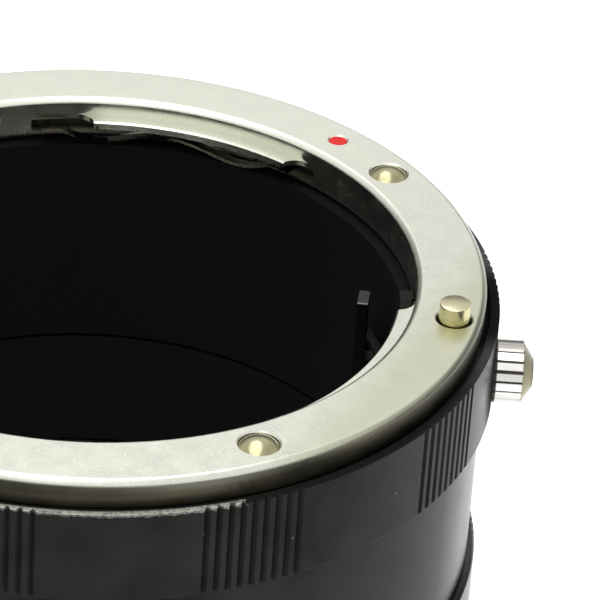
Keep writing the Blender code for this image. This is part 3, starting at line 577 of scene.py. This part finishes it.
def matt_finish(colours):
    """Flat black paint that hardly shines, with a faint tooth and dust."""
    made = Finish("matt_black_finish")
    tooth = made.noise(3500.0)
    colour = blend(tooth, colours.matt, shade(colours.matt, 1.3))
    colour = blend(made.specks(170.0, 0.02, 0.25) * 0.3, colour, (0.2, 0.2, 0.2))
    rough = tooth.remap(0.3, 0.7, 0.75, 0.9)
    return made.finished(colour, rough, tooth, 0.01 * MM, specular=0.12)


def brass_finish(colours, worn=False):
    """Dulled greenish brass with pits; when worn, paler and bright from wear where it faces up."""
    made = Finish("worn_brass_finish" if worn else "brass_finish")
    brass = shade(colours.brass, 1.9 if worn else 1.0)
    tarnish = made.noise(900.0, 4.0, 0.6)
    colour = blend(tarnish.remap(0.35, 0.7), brass, shade(brass, 0.72))
    colour = blend(made.specks(1900.0, 0.2, 0.4) * 0.4, colour, shade(brass, 0.5))
    crown = made.facing_up().remap(0.9, 0.99, 0.0, 1.0 if worn else 0.3)
    colour = blend(crown, colour, (0.57, 0.53, 0.35))
    rough = tarnish.remap(0.3, 0.7, *((0.2, 0.32) if worn else (0.15, 0.22)))
    return made.finished(colour, rough, made.noise(4200.0, 2.0), 0.004 * MM, 1.0)


def chrome_finish(colours, knob=False):
    """Polished chrome with faint haze; on the knob, painted shade in the flutes, at its foot, over
    its top and round its end, and a brassy cone.
    """
    made = Finish("knob_chrome_finish" if knob else "chrome_finish")
    haze = made.noise(800.0)
    colour = blend(haze.remap(0.35, 0.65), shade(colours.chrome, 0.93), colours.chrome)
    rough = haze.remap(0.3, 0.7, 0.07, 0.14)
    metal = 1.0
    if knob:
        x, y, z = parts(made.where)
        end_x = KNOB_HIGH.x - AXIS_X
        cone_x = end_x - KNOB_CONE
        height = z - KNOB_Z
        before = x.fading(cone_x - 0.02 * MM, cone_x + 0.02 * MM)
        cone = before.opposite()
        # painted shade in the flutes' hollows and at the knob's foot
        flutes = reach_of(y, height).fading(KNOB_R - 0.17 * MM, KNOB_R - 0.11 * MM) * before
        flute_and_foot_shade = flutes.larger(x.fading(KNOB_FOOT + 0.35 * MM, KNOB_FOOT + 0.45 * MM))
        colour = blend(cone, colour, shade(colours.brass, 0.8))
        # painted shade over the knob's top and the upper part of its cone
        top = height.remap(KNOB_R - 0.5 * MM, KNOB_R - 0.1 * MM, 0.0, 0.45)
        upper = height.remap(-0.5 * KNOB_R, 0.8 * KNOB_R, 0.0, 0.8)
        colour = blend(top.larger(cone * upper), colour, (0.1, 0.09, 0.065))
        # painted shade: a dark band round the knob's end
        end = x.remap(end_x - 0.22 * MM, end_x - 0.08 * MM, 0.0, 0.7)
        colour = blend(end, colour, (0.05, 0.045, 0.035))
        colour = blend(flute_and_foot_shade, colour, (0.03, 0.024, 0.018))
        rough = rough + flute_and_foot_shade * 0.3
        metal = flute_and_foot_shade.opposite()
    return made.finished(colour, rough, haze, 0.002 * MM, metal)


def leaf_finish(_):
    """Blued spring strip, with a painted highlight of bright metal along part of its inner edge
    and at one tip.
    """
    made = Finish("spring_steel_finish")
    sizes = bpy.context.scene.tube_sizes
    grain = made.noise(1800.0, 4.0, 0.65)
    x, y, _ = parts(made.where)
    bearing = bearing_of(x, y)
    inner = sizes.throat_r - sizes.gap - LEAF_W
    edge = reach_of(x, y).fading(inner + 0.04 * MM, inner + 0.09 * MM)
    # painted highlight: bright bare-looking metal along part of the inner edge and at one tip
    tip = bearing.span((98.0, 100.0), (110.0, 112.0))
    wear_and_glint = (edge * bearing.span((52.0, 57.0), (76.0, 80.0))).larger(tip * 0.4)
    dark = blend(grain.remap(0.35, 0.7), (0.011, 0.009, 0.007), (0.006, 0.0055, 0.005))
    colour = blend(wear_and_glint, dark, (0.5, 0.45, 0.37))
    return made.finished(colour, grain.remap(0.3, 0.7, 0.2, 0.32), grain, 0.003 * MM, 1.0)


def steel_finish(_):
    """Blackened steel with fine grain, a painted highlight along the top edge of what stands up
    and painted shade on its walls.
    """
    made = Finish("dark_steel_finish")
    steel = (0.065, 0.065, 0.065)
    grain = made.noise(2600.0, 4.0, 0.65)
    height = parts(made.where)[2]
    # painted highlight: a bright line along the top edge of what stands up
    edge = height.remap(POST_TOP - 0.16 * MM, POST_TOP - 0.1 * MM) * made.sideways()
    colour = blend(grain.remap(0.35, 0.7), steel, shade(steel, 0.7))
    # painted shade: the walls are painted darker than the tops
    colour = blend(made.sideways(0.7), colour, shade(steel, 0.15))
    colour = blend(edge, colour, (0.7, 0.7, 0.68))
    rough = grain.remap(0.3, 0.7, 0.35, 0.5)
    return made.finished(colour, rough, grain, 0.003 * MM, edge.opposite())


def paint_finish(colours):
    """Red paint that settled in its recess."""
    made = Finish("index_paint_finish")
    pool = made.noise(1500.0)
    colour = blend(pool.remap(0.35, 0.65), colours.index, shade(colours.index, 0.75))
    rough = pool.remap(0.3, 0.7, 0.25, 0.4)
    return made.finished(colour, rough, pool, 0.02 * MM, specular=0.25)


def paper_finish(name, first, second, specular):
    """Matt paper with a faint tooth, still open to more."""
    made = Finish(name)
    made.feed({
        "Base Color": blend(made.noise(900.0), first, second), "Roughness": 0.9,
        "Specular IOR Level": specular})
    return made


MAKERS = {  # the second value says worn or knob
    "plate": (plate_finish,),
    "anodised": (anodised_finish,),
    "worn": (anodised_finish, True),
    "matt": (matt_finish,),
    "brass": (brass_finish,),
    "worn_brass": (brass_finish, True),
    "chrome": (chrome_finish,),
    "knob": (chrome_finish, True),
    "spring": (leaf_finish,),
    "dark_steel": (steel_finish,),
    "index": (paint_finish,),
}
FINISHES = {}


def finish(name):
    """A finish by its name, made the first time it is asked for."""
    if name not in FINISHES:
        maker, *options = MAKERS[name]
        FINISHES[name] = maker(bpy.context.scene.tube_finishes, *options)
    return FINISHES[name]


# Places on the lens side, as angles from the knob
TABS = ((-35.3, 59.4), (74.25, 40.5), (196.0, 58.0))  # middle and width in degrees
TAB_ENDS = [(math.radians(at - width / 2), math.radians(at + width / 2)) for at, width in TABS]
WINDOW_INSIDE = math.radians(2.5)
WINDOW_LOW = math.radians(5.3)
WINDOW_HIGH = math.radians(12.0)


def tab_outline(sizes, start, end):
    """A tab seen along the axis, its ends hollowed where the cutter ran out."""
    def hollow_end(edge, side):
        points = []
        for i in range(9):
            angle = math.pi / 2 * i / 8
            radius = sizes.throat_r - sizes.tab_end_r * (1 - math.sin(angle))
            offset = sizes.tab_end_r * (1 - math.cos(angle)) * side
            points.append(polar(radius, edge + offset / sizes.throat_r))
        return points

    inside = sizes.throat_r - sizes.tab_reach - OVERCUT
    outside = sizes.throat_r + sizes.skirt_wall + OVERCUT
    spread = sizes.tab_end_r / sizes.throat_r
    outline = arc(inside, start, end) + hollow_end(end, 1)
    return outline + arc(outside, end + spread, start - spread) + hollow_end(start, -1)[::-1]


class TUBE_OT_lens_bayonet(bpy.types.Operator):
    """Turns the plated lens-side ring, with its tabs, windows and holes"""

    bl_idname = "tube.lens_bayonet"
    bl_label = "Lens bayonet"

    def execute(self, context):
        sizes = context.scene.tube_sizes
        face_r = RIM_R - sizes.rim_chamfer
        flange_z = FACE_Z - sizes.flange_t
        skirt_r = sizes.throat_r + sizes.skirt_wall
        outline = [
            (sizes.throat_r + sizes.throat_chamfer, FACE_Z), (face_r, FACE_Z),
            (RIM_R, FACE_Z - sizes.rim_chamfer), (RIM_R, flange_z), (skirt_r, flange_z),
            (skirt_r, SKIRT_Z), (sizes.throat_r, SKIRT_Z),
            (sizes.throat_r, FACE_Z - sizes.throat_chamfer),
        ]
        ring = turned("lens_ring", eased(outline, sizes.face_ease))

        tab_top = FACE_Z - sizes.tab_drop
        tab_low = tab_top - sizes.tab_t
        tab_r = sizes.throat_r - sizes.tab_reach
        root = (sizes.throat_r + skirt_r) / 2
        chamfer = 0.15 * MM
        rib = [
            (tab_r + chamfer, tab_top), (root, tab_top), (root, tab_low), (tab_r, tab_low),
            (tab_r, tab_top - chamfer),
        ]
        for low_end, high_end in TAB_ENDS:
            tab = turned("tab", rib)
            keep = tab_outline(sizes, low_end, high_end)
            combine(tab, slab("keep", keep, tab_low - OVERCUT, tab_top + OVERCUT), "INTERSECT")
            combine(ring, tab, "UNION")
            top = FACE_Z - sizes.window_drop
            low = top - sizes.window_h
            for start, end in (
                (low_end - WINDOW_LOW, low_end + WINDOW_INSIDE),
                (high_end - WINDOW_INSIDE, high_end + WINDOW_HIGH),
            ):
                combine(ring, sector(tab_r, skirt_r + OVERCUT, start, end, low, top))

        worked = 0.12 * MM  # chamfer at the mouth of a hole
        holes = [(middle("lock_pin"), 1.5 * MM, 2 * sizes.flange_t)]
        holes += [(middle("index_dot"), 0.82 * MM, 0.7 * MM)]
        holes += [(middle(f"lens_screw_{n}"), 1.66 * MM, 0.6 * MM) for n in SCREWS]
        for at, radius, depth in holes:
            mouth = radius + worked
            hole = [
                (0.0, FACE_Z - depth), (radius, FACE_Z - depth), (radius, FACE_Z - worked),
                (mouth, FACE_Z), (mouth, FACE_Z + OVERCUT), (0.0, FACE_Z + OVERCUT),
            ]
            combine(ring, turned("hole", hole, upright(at)))
        dressed(ring, "lens_side", "plate", "lens_bayonet")
        return {"FINISHED"}


def knurl_tool(sizes, radius, low, high):
    """Nine V grooves in each of ten groups round a grip, as one cutter."""
    groups, grooves = 10, 9
    phase = math.radians(8.3)
    wide = sizes.knurl_w / 2 * (1 + OVERCUT / sizes.knurl_depth)
    start = phase - sizes.knurl_pitch * (grooves - 1) / 2
    turn = Matrix.Rotation(start, 4, "Z")
    deep, proud = radius - sizes.knurl_depth, radius + OVERCUT
    corners = ((deep, 0.0), (proud, -wide), (proud, wide))
    outline = [AXIS @ (turn @ Vector((x, y, 0.0))) for x, y in corners]
    tool = slab("knurl", outline, low, high)
    pick(tool)
    bpy.ops.object.mode_set(mode="EDIT")
    for count, step in ((grooves, sizes.knurl_pitch), (groups, math.tau / groups)):
        bpy.ops.mesh.select_all(action="SELECT")
        bpy.ops.mesh.spin(
            steps=count - 1, dupli=True, angle=step * (count - 1),
            center=AXIS.translation, axis=DOWN)
    bpy.ops.mesh.select_all(action="SELECT")
    bpy.ops.mesh.normals_make_consistent(inside=False)
    bpy.ops.object.mode_set(mode="OBJECT")
    return tool


class TUBE_OT_front_barrel(bpy.types.Operator):
    """Turns the black barrel and cuts its grip, the lock's slot and the chamber"""

    bl_idname = "tube.front_barrel"
    bl_label = "Front barrel"

    def execute(self, context):
        sizes = context.scene.tube_sizes
        gap = sizes.gap
        grip_z = GRIP_TOP - sizes.grip_h
        body_r = GRIP_R - sizes.grip_step
        seat_z = FACE_Z - sizes.flange_t - gap
        skirt_r = sizes.throat_r + sizes.skirt_wall + gap
        lip_seat = BAFFLE_HIGH.z - BAFFLE_LIP - gap
        shoulder_r = sizes.throat_r - BAFFLE_STEP + BAFFLE_WALL + gap
        shoulder_z = FACE_Z - 17.0 * MM
        thread_r = body_r - THREAD_STEP
        lip_r = GRIP_R - 0.82 * MM
        chamfer = 0.15 * MM
        outline = [
            (body_r, BODY_Z), (body_r, grip_z), (GRIP_R - chamfer, grip_z),
            (GRIP_R, grip_z + chamfer), (GRIP_R, GRIP_TOP), (lip_r, GRIP_TOP),
            (lip_r, seat_z), (skirt_r, seat_z), (skirt_r, lip_seat),
            (shoulder_r, lip_seat), (shoulder_r, shoulder_z), (thread_r, shoulder_z - 2.9 * MM),
            (thread_r, BODY_Z),
        ]
        barrel = turned("barrel", eased(outline, sizes.ease))
        combine(barrel, knurl_tool(sizes, GRIP_R, grip_z - gap, GRIP_TOP + OVERCUT))

        chamber_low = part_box("lock_carriage")[0].z - 2.0 * MM
        combine(barrel, sector(
            sizes.throat_r - OVERCUT, PIN_HIGH.x - AXIS_X + 2 * gap, math.radians(-17.1),
            math.radians(6.3), chamber_low, seat_z + OVERCUT))
        slot = outward(0.0, 30.0 * MM, KNOB_Z)
        for drop in (0.0, LOCK_STROKE / 2, LOCK_STROKE):
            place = Matrix.Translation((0.0, 0.0, -drop)) @ slot
            drilled(barrel, 1.2 * MM, 0.0, 8.0 * MM, place)

        knob_r = KNOB_R + gap
        notch_r = KNOB_FOOT - gap
        past = KNOB_Z - grip_z + OVERCUT
        outline = [(past, -knob_r), (past, knob_r)]
        facets = 24
        for i in range(facets + 1):
            angle = math.pi * i / facets
            outline.append((-knob_r * math.sin(angle), knob_r * math.cos(angle)))
        notch = slab("notch", outline, 0.0, GRIP_R + OVERCUT - notch_r)
        notch.data.transform(outward(0.0, notch_r, KNOB_Z))
        combine(barrel, notch)

        low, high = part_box("lock_spring")
        place = upright(middle("lock_pin"))
        drilled(barrel, 1.85 * MM, low.z - gap, high.z, place)
        for n in SCREWS:
            name = f"lens_screw_{n}"
            drilled(
                barrel, SCREW_HOLE_R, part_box(name)[0].z - gap, seat_z + OVERCUT,
                upright(middle(name)), SCREW_HOLE_FACETS)
        dressed(barrel, "lens_side", "worn", "front_barrel")
        return {"FINISHED"}


class TUBE_OT_light_baffle(bpy.types.Operator):
    """Turns the dark sleeve inside the bore and the funnel behind it"""

    bl_idname = "tube.light_baffle"
    bl_label = "Light baffle"

    def execute(self, context):
        sizes = context.scene.tube_sizes
        bore = sizes.throat_r - BAFFLE_STEP
        outer = bore + BAFFLE_WALL
        lip_r = sizes.throat_r + sizes.skirt_wall
        lip_z = BAFFLE_HIGH.z - BAFFLE_LIP
        outline = [
            (bore, BAFFLE_LOW.z), (outer, BAFFLE_LOW.z), (outer, lip_z), (lip_r, lip_z),
            (lip_r, BAFFLE_HIGH.z), (bore, BAFFLE_HIGH.z),
        ]
        baffle = turned("baffle", eased(outline, sizes.ease))
        dressed(baffle, "lens_side", "matt", "light_baffle")

        outer = (TRAP_HIGH.x - TRAP_LOW.x) / 2
        mouth = 23.0 * MM
        outline = [
            (mouth, TRAP_LOW.z), (outer, TRAP_LOW.z), (outer, TRAP_HIGH.z),
            (outer - 0.9 * MM, TRAP_HIGH.z), (mouth, TRAP_LOW.z + 1.1 * MM),
        ]
        trap = turned("trap", eased(outline, sizes.ease))
        dressed(trap, "camera_side", "matt", "rear_light_trap")
        return {"FINISHED"}


def rear_dot_place(radius):
    """A place for the camera side's dot, at this radius."""
    at = middle("rear_index_dot") - AXIS.translation
    return outward(math.atan2(at.y, at.x), radius, at.z)


class TUBE_OT_rear_barrel(bpy.types.Operator):
    """Turns the camera-side grip ring and its thread"""

    bl_idname = "tube.rear_barrel"
    bl_label = "Rear barrel"

    def execute(self, context):
        sizes = context.scene.tube_sizes
        grip_top = BODY_Z - sizes.gap
        chamfer = 0.3 * MM
        thread_r = GRIP_R - sizes.grip_step - THREAD_STEP - sizes.gap
        bore = thread_r - THREAD_STEP
        seat = thread_r - 3.9 * MM
        taper_z = REAR_LOW.z + 4.6 * MM
        outline = [
            (seat, REAR_LOW.z), (REAR_R - chamfer, REAR_LOW.z), (REAR_R, REAR_LOW.z + chamfer),
            (REAR_R, grip_top - chamfer), (REAR_R - chamfer, grip_top), (thread_r, grip_top),
            (thread_r, REAR_HIGH.z), (bore, REAR_HIGH.z), (bore, taper_z + 1.2 * MM),
            (seat, taper_z),
        ]
        barrel = turned("camera_grip", eased(outline, sizes.ease))
        combine(barrel, knurl_tool(sizes, REAR_R, REAR_LOW.z - OVERCUT, grip_top + sizes.gap))
        place = rear_dot_place(REAR_R - 0.8 * MM)
        drilled(barrel, 0.9 * MM, 0.0, 2.0 * MM, place)
        for n in SCREWS:
            name = f"rear_screw_{n}"
            drilled(
                barrel, SCREW_HOLE_R, REAR_LOW.z - OVERCUT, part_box(name)[1].z + sizes.gap,
                upright(middle(name)), SCREW_HOLE_FACETS)
        dressed(barrel, "camera_side", "anodised", "rear_barrel")
        return {"FINISHED"}


class TUBE_OT_rear_bayonet(bpy.types.Operator):
    """Turns the plated camera-side ring and its lugs"""

    bl_idname = "tube.rear_bayonet"
    bl_label = "Rear bayonet"

    def execute(self, context):
        sizes = context.scene.tube_sizes
        bore = 22.3 * MM
        male_r = bore + 2.9 * MM
        flange_r = REAR_R - 1.5 * MM
        reach = 4.6 * MM
        chamfer = 0.3 * MM
        outline = [
            (bore, 0.0), (male_r - chamfer, 0.0), (male_r, chamfer), (male_r, reach),
            (flange_r - chamfer, reach), (flange_r, reach + chamfer), (flange_r, CAMERA_TOP),
            (bore, CAMERA_TOP),
        ]
        ring = turned("camera_ring", eased(outline, sizes.ease))
        half = math.radians(23.0)
        for degrees in (20.0, 140.0, 260.0):
            at = math.radians(degrees)
            lug = sector(
                bore + 1.45 * MM, male_r + 1.4 * MM, at - half, at + half, 1.5 * MM, 2.8 * MM)
            combine(ring, lug, "UNION")

        low, step, top = reach - OVERCUT, reach + 1.1 * MM, CAMERA_TOP + OVERCUT
        head_r, shank_r = 1.72 * MM, 1.0 * MM
        hole = [
            (0.0, low), (head_r, low), (head_r, step), (shank_r, step), (shank_r, top), (0.0, top),
        ]
        for n in SCREWS:
            place = upright(middle(f"rear_screw_{n}"))
            combine(ring, turned("hole", hole, place))
        place = upright(polar(flange_r - 2.6 * MM, math.radians(-52.0)))
        drilled(ring, 1.6 * MM, low, top, place)
        dressed(ring, "camera_side", "plate", "rear_bayonet")
        return {"FINISHED"}


class TUBE_OT_fasteners(bpy.types.Operator):
    """Turns the domed face screws and the flat camera-side screws"""

    bl_idname = "tube.fasteners"
    bl_label = "Screws"

    def execute(self, context):
        head_r, shank_r, dome = 1.6 * MM, 0.85 * MM, 0.6 * MM
        seat = FACE_Z - 0.2 * MM
        head_low = seat - 0.15 * MM
        sphere = (head_r ** 2 + dome ** 2) / (2 * dome)
        spread = math.asin(head_r / sphere)
        steps = 10
        edge, head_h = 0.1 * MM, 0.8 * MM
        reach, half = 1.2 * MM, 0.2 * MM  # of a slot in a camera-side screw
        for n in SCREWS:
            low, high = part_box(f"lens_screw_{n}")
            outline = [(0.0, low.z), (shank_r, low.z), (shank_r, head_low), (head_r, head_low)]
            for i in range(steps):
                angle = spread * (1 - i / steps)
                height = seat + dome - sphere * (1 - math.cos(angle))
                outline.append((sphere * math.sin(angle), height))
            outline.append((0.0, seat + dome))
            place = upright((low + high) / 2)
            screw = turned(f"face_screw_{n}", outline, place)
            dressed(screw, "lens_side", "brass", f"lens_screw_{n}")

            low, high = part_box(f"rear_screw_{n}")
            outline = [
                (0.0, low.z), (head_r - edge, low.z), (head_r, low.z + edge),
                (head_r, low.z + head_h), (shank_r, low.z + head_h), (shank_r, high.z),
                (0.0, high.z),
            ]
            place = upright((low + high) / 2)
            screw = turned(f"flange_screw_{n}", outline, place)
            for turn in (0.0, math.pi / 2):
                across = place @ Matrix.Rotation(turn, 4, "Z")
                corners = ((-reach, -half), (reach, -half), (reach, half), (-reach, half))
                outline = [across @ Vector((x, y, 0.0)) for x, y in corners]
                combine(screw, slab("slot", outline, low.z - OVERCUT, low.z + 0.35 * MM))
            dressed(screw, "camera_side", "chrome", f"rear_screw_{n}")
        return {"FINISHED"}


class TUBE_OT_index_dots(bpy.types.Operator):
    """Fills the two index dots with dished paint"""

    bl_idname = "tube.index_dots"
    bl_label = "Index dots"

    def execute(self, context):
        radius, depth, dish = 0.8 * MM, 0.6 * MM, 0.06 * MM
        outline = [
            (0.0, -depth), (radius, -depth), (radius, 0.0), (radius * 0.75, -dish * 0.6),
            (radius * 0.4, -dish * 0.9), (0.0, -dish),
        ]
        low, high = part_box("index_dot")
        place = Matrix.Translation((0.0, 0.0, high.z)) @ upright((low + high) / 2)
        dot = turned("face_dot", outline, place)
        dressed(dot, "lens_side", "index", "index_dot")
        place = rear_dot_place(REAR_R - 0.1 * MM)
        dot = turned("grip_dot", outline, place)
        dressed(dot, "camera_side", "index", "rear_index_dot")
        return {"FINISHED"}


class TUBE_OT_leaf_springs(bpy.types.Operator):
    """Bows a thin strip under each tab"""

    bl_idname = "tube.leaf_springs"
    bl_label = "Leaf springs"

    def execute(self, context):
        sizes = context.scene.tube_sizes
        thick, bow = 0.22 * MM, 1.05 * MM
        flat, ear = math.radians(4.5), math.radians(2.7)
        outer = sizes.throat_r - sizes.gap
        inner = outer - LEAF_W
        top = FACE_Z - sizes.tab_drop - sizes.tab_t - sizes.gap
        low = top - thick
        for n, (low_end, high_end) in enumerate(TAB_ENDS, 1):
            start = low_end - math.radians(0.5)
            end = high_end + math.radians(10.5)
            at, half = (start + end) / 2, (end - start) / 2
            corners = ((inner, low), (outer, low), (outer, top), (inner, top))
            points = [polar(radius, start, height) for radius, height in corners]
            strip = drawn(f"tab_spring_{n}", points + points[:1])
            bpy.ops.mesh.remove_doubles(threshold=MERGE)
            bpy.ops.mesh.edge_face_add()
            bpy.ops.mesh.spin(steps=72, angle=end - start, center=AXIS.translation, axis=DOWN)
            closed_up()
            for vertex in strip.data.vertices:
                arm = vertex.co - AXIS.translation
                angle = at + math.remainder(math.atan2(arm.y, arm.x) - at, math.tau)
                share = min(1.0, abs(angle - at) / (half - flat))
                height = vertex.co.z - bow * math.sin(math.pi * share ** 1.6)
                radius = math.hypot(arm.x, arm.y)
                if half - abs(angle - at) < ear and radius > outer - LEAF_W / 2:
                    radius = sizes.throat_r + 1.0 * MM
                vertex.co = polar(radius, angle, height)
            dressed(strip, "lens_side", "spring", f"leaf_spring_{n}")
        return {"FINISHED"}


class TUBE_OT_lens_lock(bpy.types.Operator):
    """Turns the pin and makes the fluted knob"""

    bl_idname = "tube.lens_lock"
    bl_label = "Lens lock"

    def execute(self, context):
        sizes = context.scene.tube_sizes
        radius, foot_r, collar = 1.3 * MM, 0.9 * MM, 1.7 * MM
        collar_top = FACE_Z - sizes.flange_t - sizes.gap
        collar_low = collar_top - 1.2 * MM
        shoulder = PIN_LOW.z + 1.5 * MM
        top = PIN_HIGH.z
        edge = 0.1 * MM
        outline = [
            (0.0, PIN_LOW.z), (foot_r, PIN_LOW.z), (foot_r, shoulder), (radius, shoulder),
            (radius, collar_low), (collar, collar_low), (collar, collar_top), (radius, collar_top),
            (radius, top - edge), (radius - edge * 0.3, top - edge * 0.3), (radius - edge, top),
            (0.0, top),
        ]
        pin = turned("pin", outline, upright(middle("lock_pin")))
        dressed(pin, "lens_lock", "worn_brass", "lock_pin")

        length = KNOB_HIGH.x - KNOB_LOW.x
        place = outward(0.0, KNOB_FOOT, KNOB_Z)
        flutes, depth, share = 18, 0.2 * MM, 0.34
        pitch = math.tau / flutes
        flute = ((-0.5, 0.0), (-0.3, 0.7), (-0.12, 1.0), (0.12, 1.0), (0.3, 0.7), (0.5, 0.0))
        outline = []
        for index in range(flutes):
            at = index * pitch
            rim = [(at + offset * share * pitch, KNOB_R - depth * deep) for offset, deep in flute]
            rim.append((at + pitch / 2, KNOB_R))
            outline += [(reach * math.cos(angle), reach * math.sin(angle)) for angle, reach in rim]
        knob = slab("knob", outline, 0.0, length)
        knob.data.transform(place)
        end_r = 1.25 * MM
        lean = (KNOB_R - end_r) / KNOB_CONE
        wide = KNOB_R + OVERCUT
        crop = [
            (0.0, -OVERCUT), (wide, -OVERCUT), (wide, length - KNOB_CONE - OVERCUT / lean),
            (end_r, length), (end_r * 0.8, length - 0.02 * MM), (0.0, length - 0.03 * MM),
        ]
        combine(knob, turned("crop", crop, place, facets=72), "INTERSECT")
        drilled(knob, 1.2 * MM, -OVERCUT, 1.6 * MM, place)
        dressed(knob, "lens_lock", "knob", "lock_knob", sharp=25.0)
        return {"FINISHED"}


class TUBE_OT_inner_pieces(bpy.types.Operator):
    """Gives the solids that stay as they are their finishes"""

    bl_idname = "tube.inner_pieces"
    bl_label = "Inner pieces"

    def execute(self, context):
        steel = ("aperture_post", "post_screw_1", "post_screw_2", "spring_guide", "lock_carriage")
        names = dict.fromkeys((*steel, "knob_stem"), "dark_steel")
        for node_name, name in {**names, "lock_spring": "spring"}.items():
            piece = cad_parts[node_name]
            if not piece.material_slots:
                piece.data.materials.append(None)
            for slot in piece.material_slots:
                slot.material = finish(name)
        return {"FINISHED"}


class TUBE_OT_studio(bpy.types.Operator):
    """Lays the floor, sets the light and places the camera"""

    bl_idname = "tube.studio"
    bl_label = "Studio"

    def execute(self, context):
        studio = context.scene.tube_studio
        clear_selection()
        bpy.ops.mesh.primitive_plane_add(size=6.0, location=(0.0, 0.0, 0.0))
        floor = context.object
        floor.name = "floor"
        paper = paper_finish("floor_paper", studio.floor, shade(studio.floor, 0.985), 0.1)
        rays = node(paper.tree, "LightPath", "Is Camera Ray", {})
        outputs = rays.socket.node.outputs
        seen = rays.larger(Value(outputs["Is Glossy Ray"]))
        seen = seen.larger(Value(outputs["Is Transmission Ray"]))
        paper.feed({"Emission Color": (1.0, 1.0, 1.0), "Emission Strength": seen * 0.3})
        floor.data.materials.append(paper.material)

        world = bpy.data.worlds.new("studio")
        context.scene.world = world
        world.use_nodes = True
        background = world.node_tree.nodes["Background"]
        aim = parts(node(world.node_tree, "TexCoord", "Generated", {}))
        overhead = aim[2].remap(0.2, 0.52, studio.horizon, 1.0, "SMOOTHSTEP")
        front = aim[1].fading(-0.8, -0.3, studio.front, "SMOOTHSTEP")
        give(background.inputs["Color"], (1.0, 1.0, 1.0))
        give(background.inputs["Strength"], overhead.larger(front))

        # Seen in reflections alone, so the black metal has dark and light to mirror
        black = paper_finish("card_black", (0.012, 0.012, 0.012), (0.02, 0.02, 0.02), 0.5)
        for name, outline in (
            ("left_card", ((-0.4, -0.04), (-0.4, -0.6), (0.062, -0.6), (0.034, -0.046))),
            ("right_card", ((0.05, -0.04), (0.1, -0.6), (0.5, -0.6), (0.5, -0.2), (0.085, -0.03))),
        ):
            card = slab(name, outline, 0.5 * MM, MM)
            card.data.materials.append(black.material)
            card.visible_camera = False
            card.visible_diffuse = False
            card.visible_shadow = False

        centre = Vector((AXIS_X, 0.0, FACE_Z))
        bpy.ops.object.light_add(type="AREA", location=centre + Vector((-0.1, 0.08, 0.55)))
        light = context.object
        light.name = "key_light"
        light.data.shape = "ELLIPSE"
        light.data.size = 0.42
        light.data.size_y = 0.9
        light.data.energy = studio.key

        bpy.ops.object.camera_add(location=centre + Vector(studio.place))
        camera = context.object
        camera.name = "photo_camera"
        camera.rotation_mode = "ZYX"
        camera.rotation_euler = (math.pi / 2 - studio.elevation, 0.0, studio.roll)
        camera.data.lens = studio.lens
        camera.data.sensor_width = 36.0
        camera.data.clip_start = 0.01
        context.scene.camera = camera
        context.scene.view_settings.view_transform = "Standard"
        return {"FINISHED"}


class TUBE_PT_panel(bpy.types.Panel):
    """Lists the steps that dress the tube"""

    bl_idname = "TUBE_PT_panel"
    bl_label = "Extension tube"
    bl_space_type = "VIEW_3D"
    bl_region_type = "UI"
    bl_category = "Tube"

    def draw(self, context):
        for operator in OPERATORS:
            self.layout.operator(operator.bl_idname)
        for group in GROUPS:
            values = getattr(context.scene, group)
            for name in values.bl_rna.properties.keys():
                if name not in ("rna_type", "name"):
                    self.layout.prop(values, name)


OPERATORS = (
    TUBE_OT_lens_bayonet, TUBE_OT_front_barrel, TUBE_OT_light_baffle, TUBE_OT_rear_barrel,
    TUBE_OT_rear_bayonet, TUBE_OT_fasteners, TUBE_OT_index_dots, TUBE_OT_leaf_springs,
    TUBE_OT_lens_lock, TUBE_OT_inner_pieces, TUBE_OT_studio,
)
GROUPS = {"tube_sizes": TubeSizes, "tube_finishes": TubeFinishes, "tube_studio": TubeStudio}
CLASSES = (*GROUPS.values(), *OPERATORS, TUBE_PT_panel)


def register():
    for made in CLASSES:
        bpy.utils.register_class(made)
    for name, group in GROUPS.items():
        setattr(bpy.types.Scene, name, bpy.props.PointerProperty(type=group))


def unregister():
    for name in GROUPS:
        delattr(bpy.types.Scene, name)
    for made in reversed(CLASSES):
        bpy.utils.unregister_class(made)


def main():
    register()
    bpy.ops.tube.lens_bayonet()
    bpy.ops.tube.front_barrel()
    bpy.ops.tube.light_baffle()
    bpy.ops.tube.rear_barrel()
    bpy.ops.tube.rear_bayonet()
    bpy.ops.tube.fasteners()
    bpy.ops.tube.index_dots()
    bpy.ops.tube.leaf_springs()
    bpy.ops.tube.lens_lock()
    bpy.ops.tube.inner_pieces()
    bpy.ops.tube.studio()


if __name__ == "__main__":
    main()
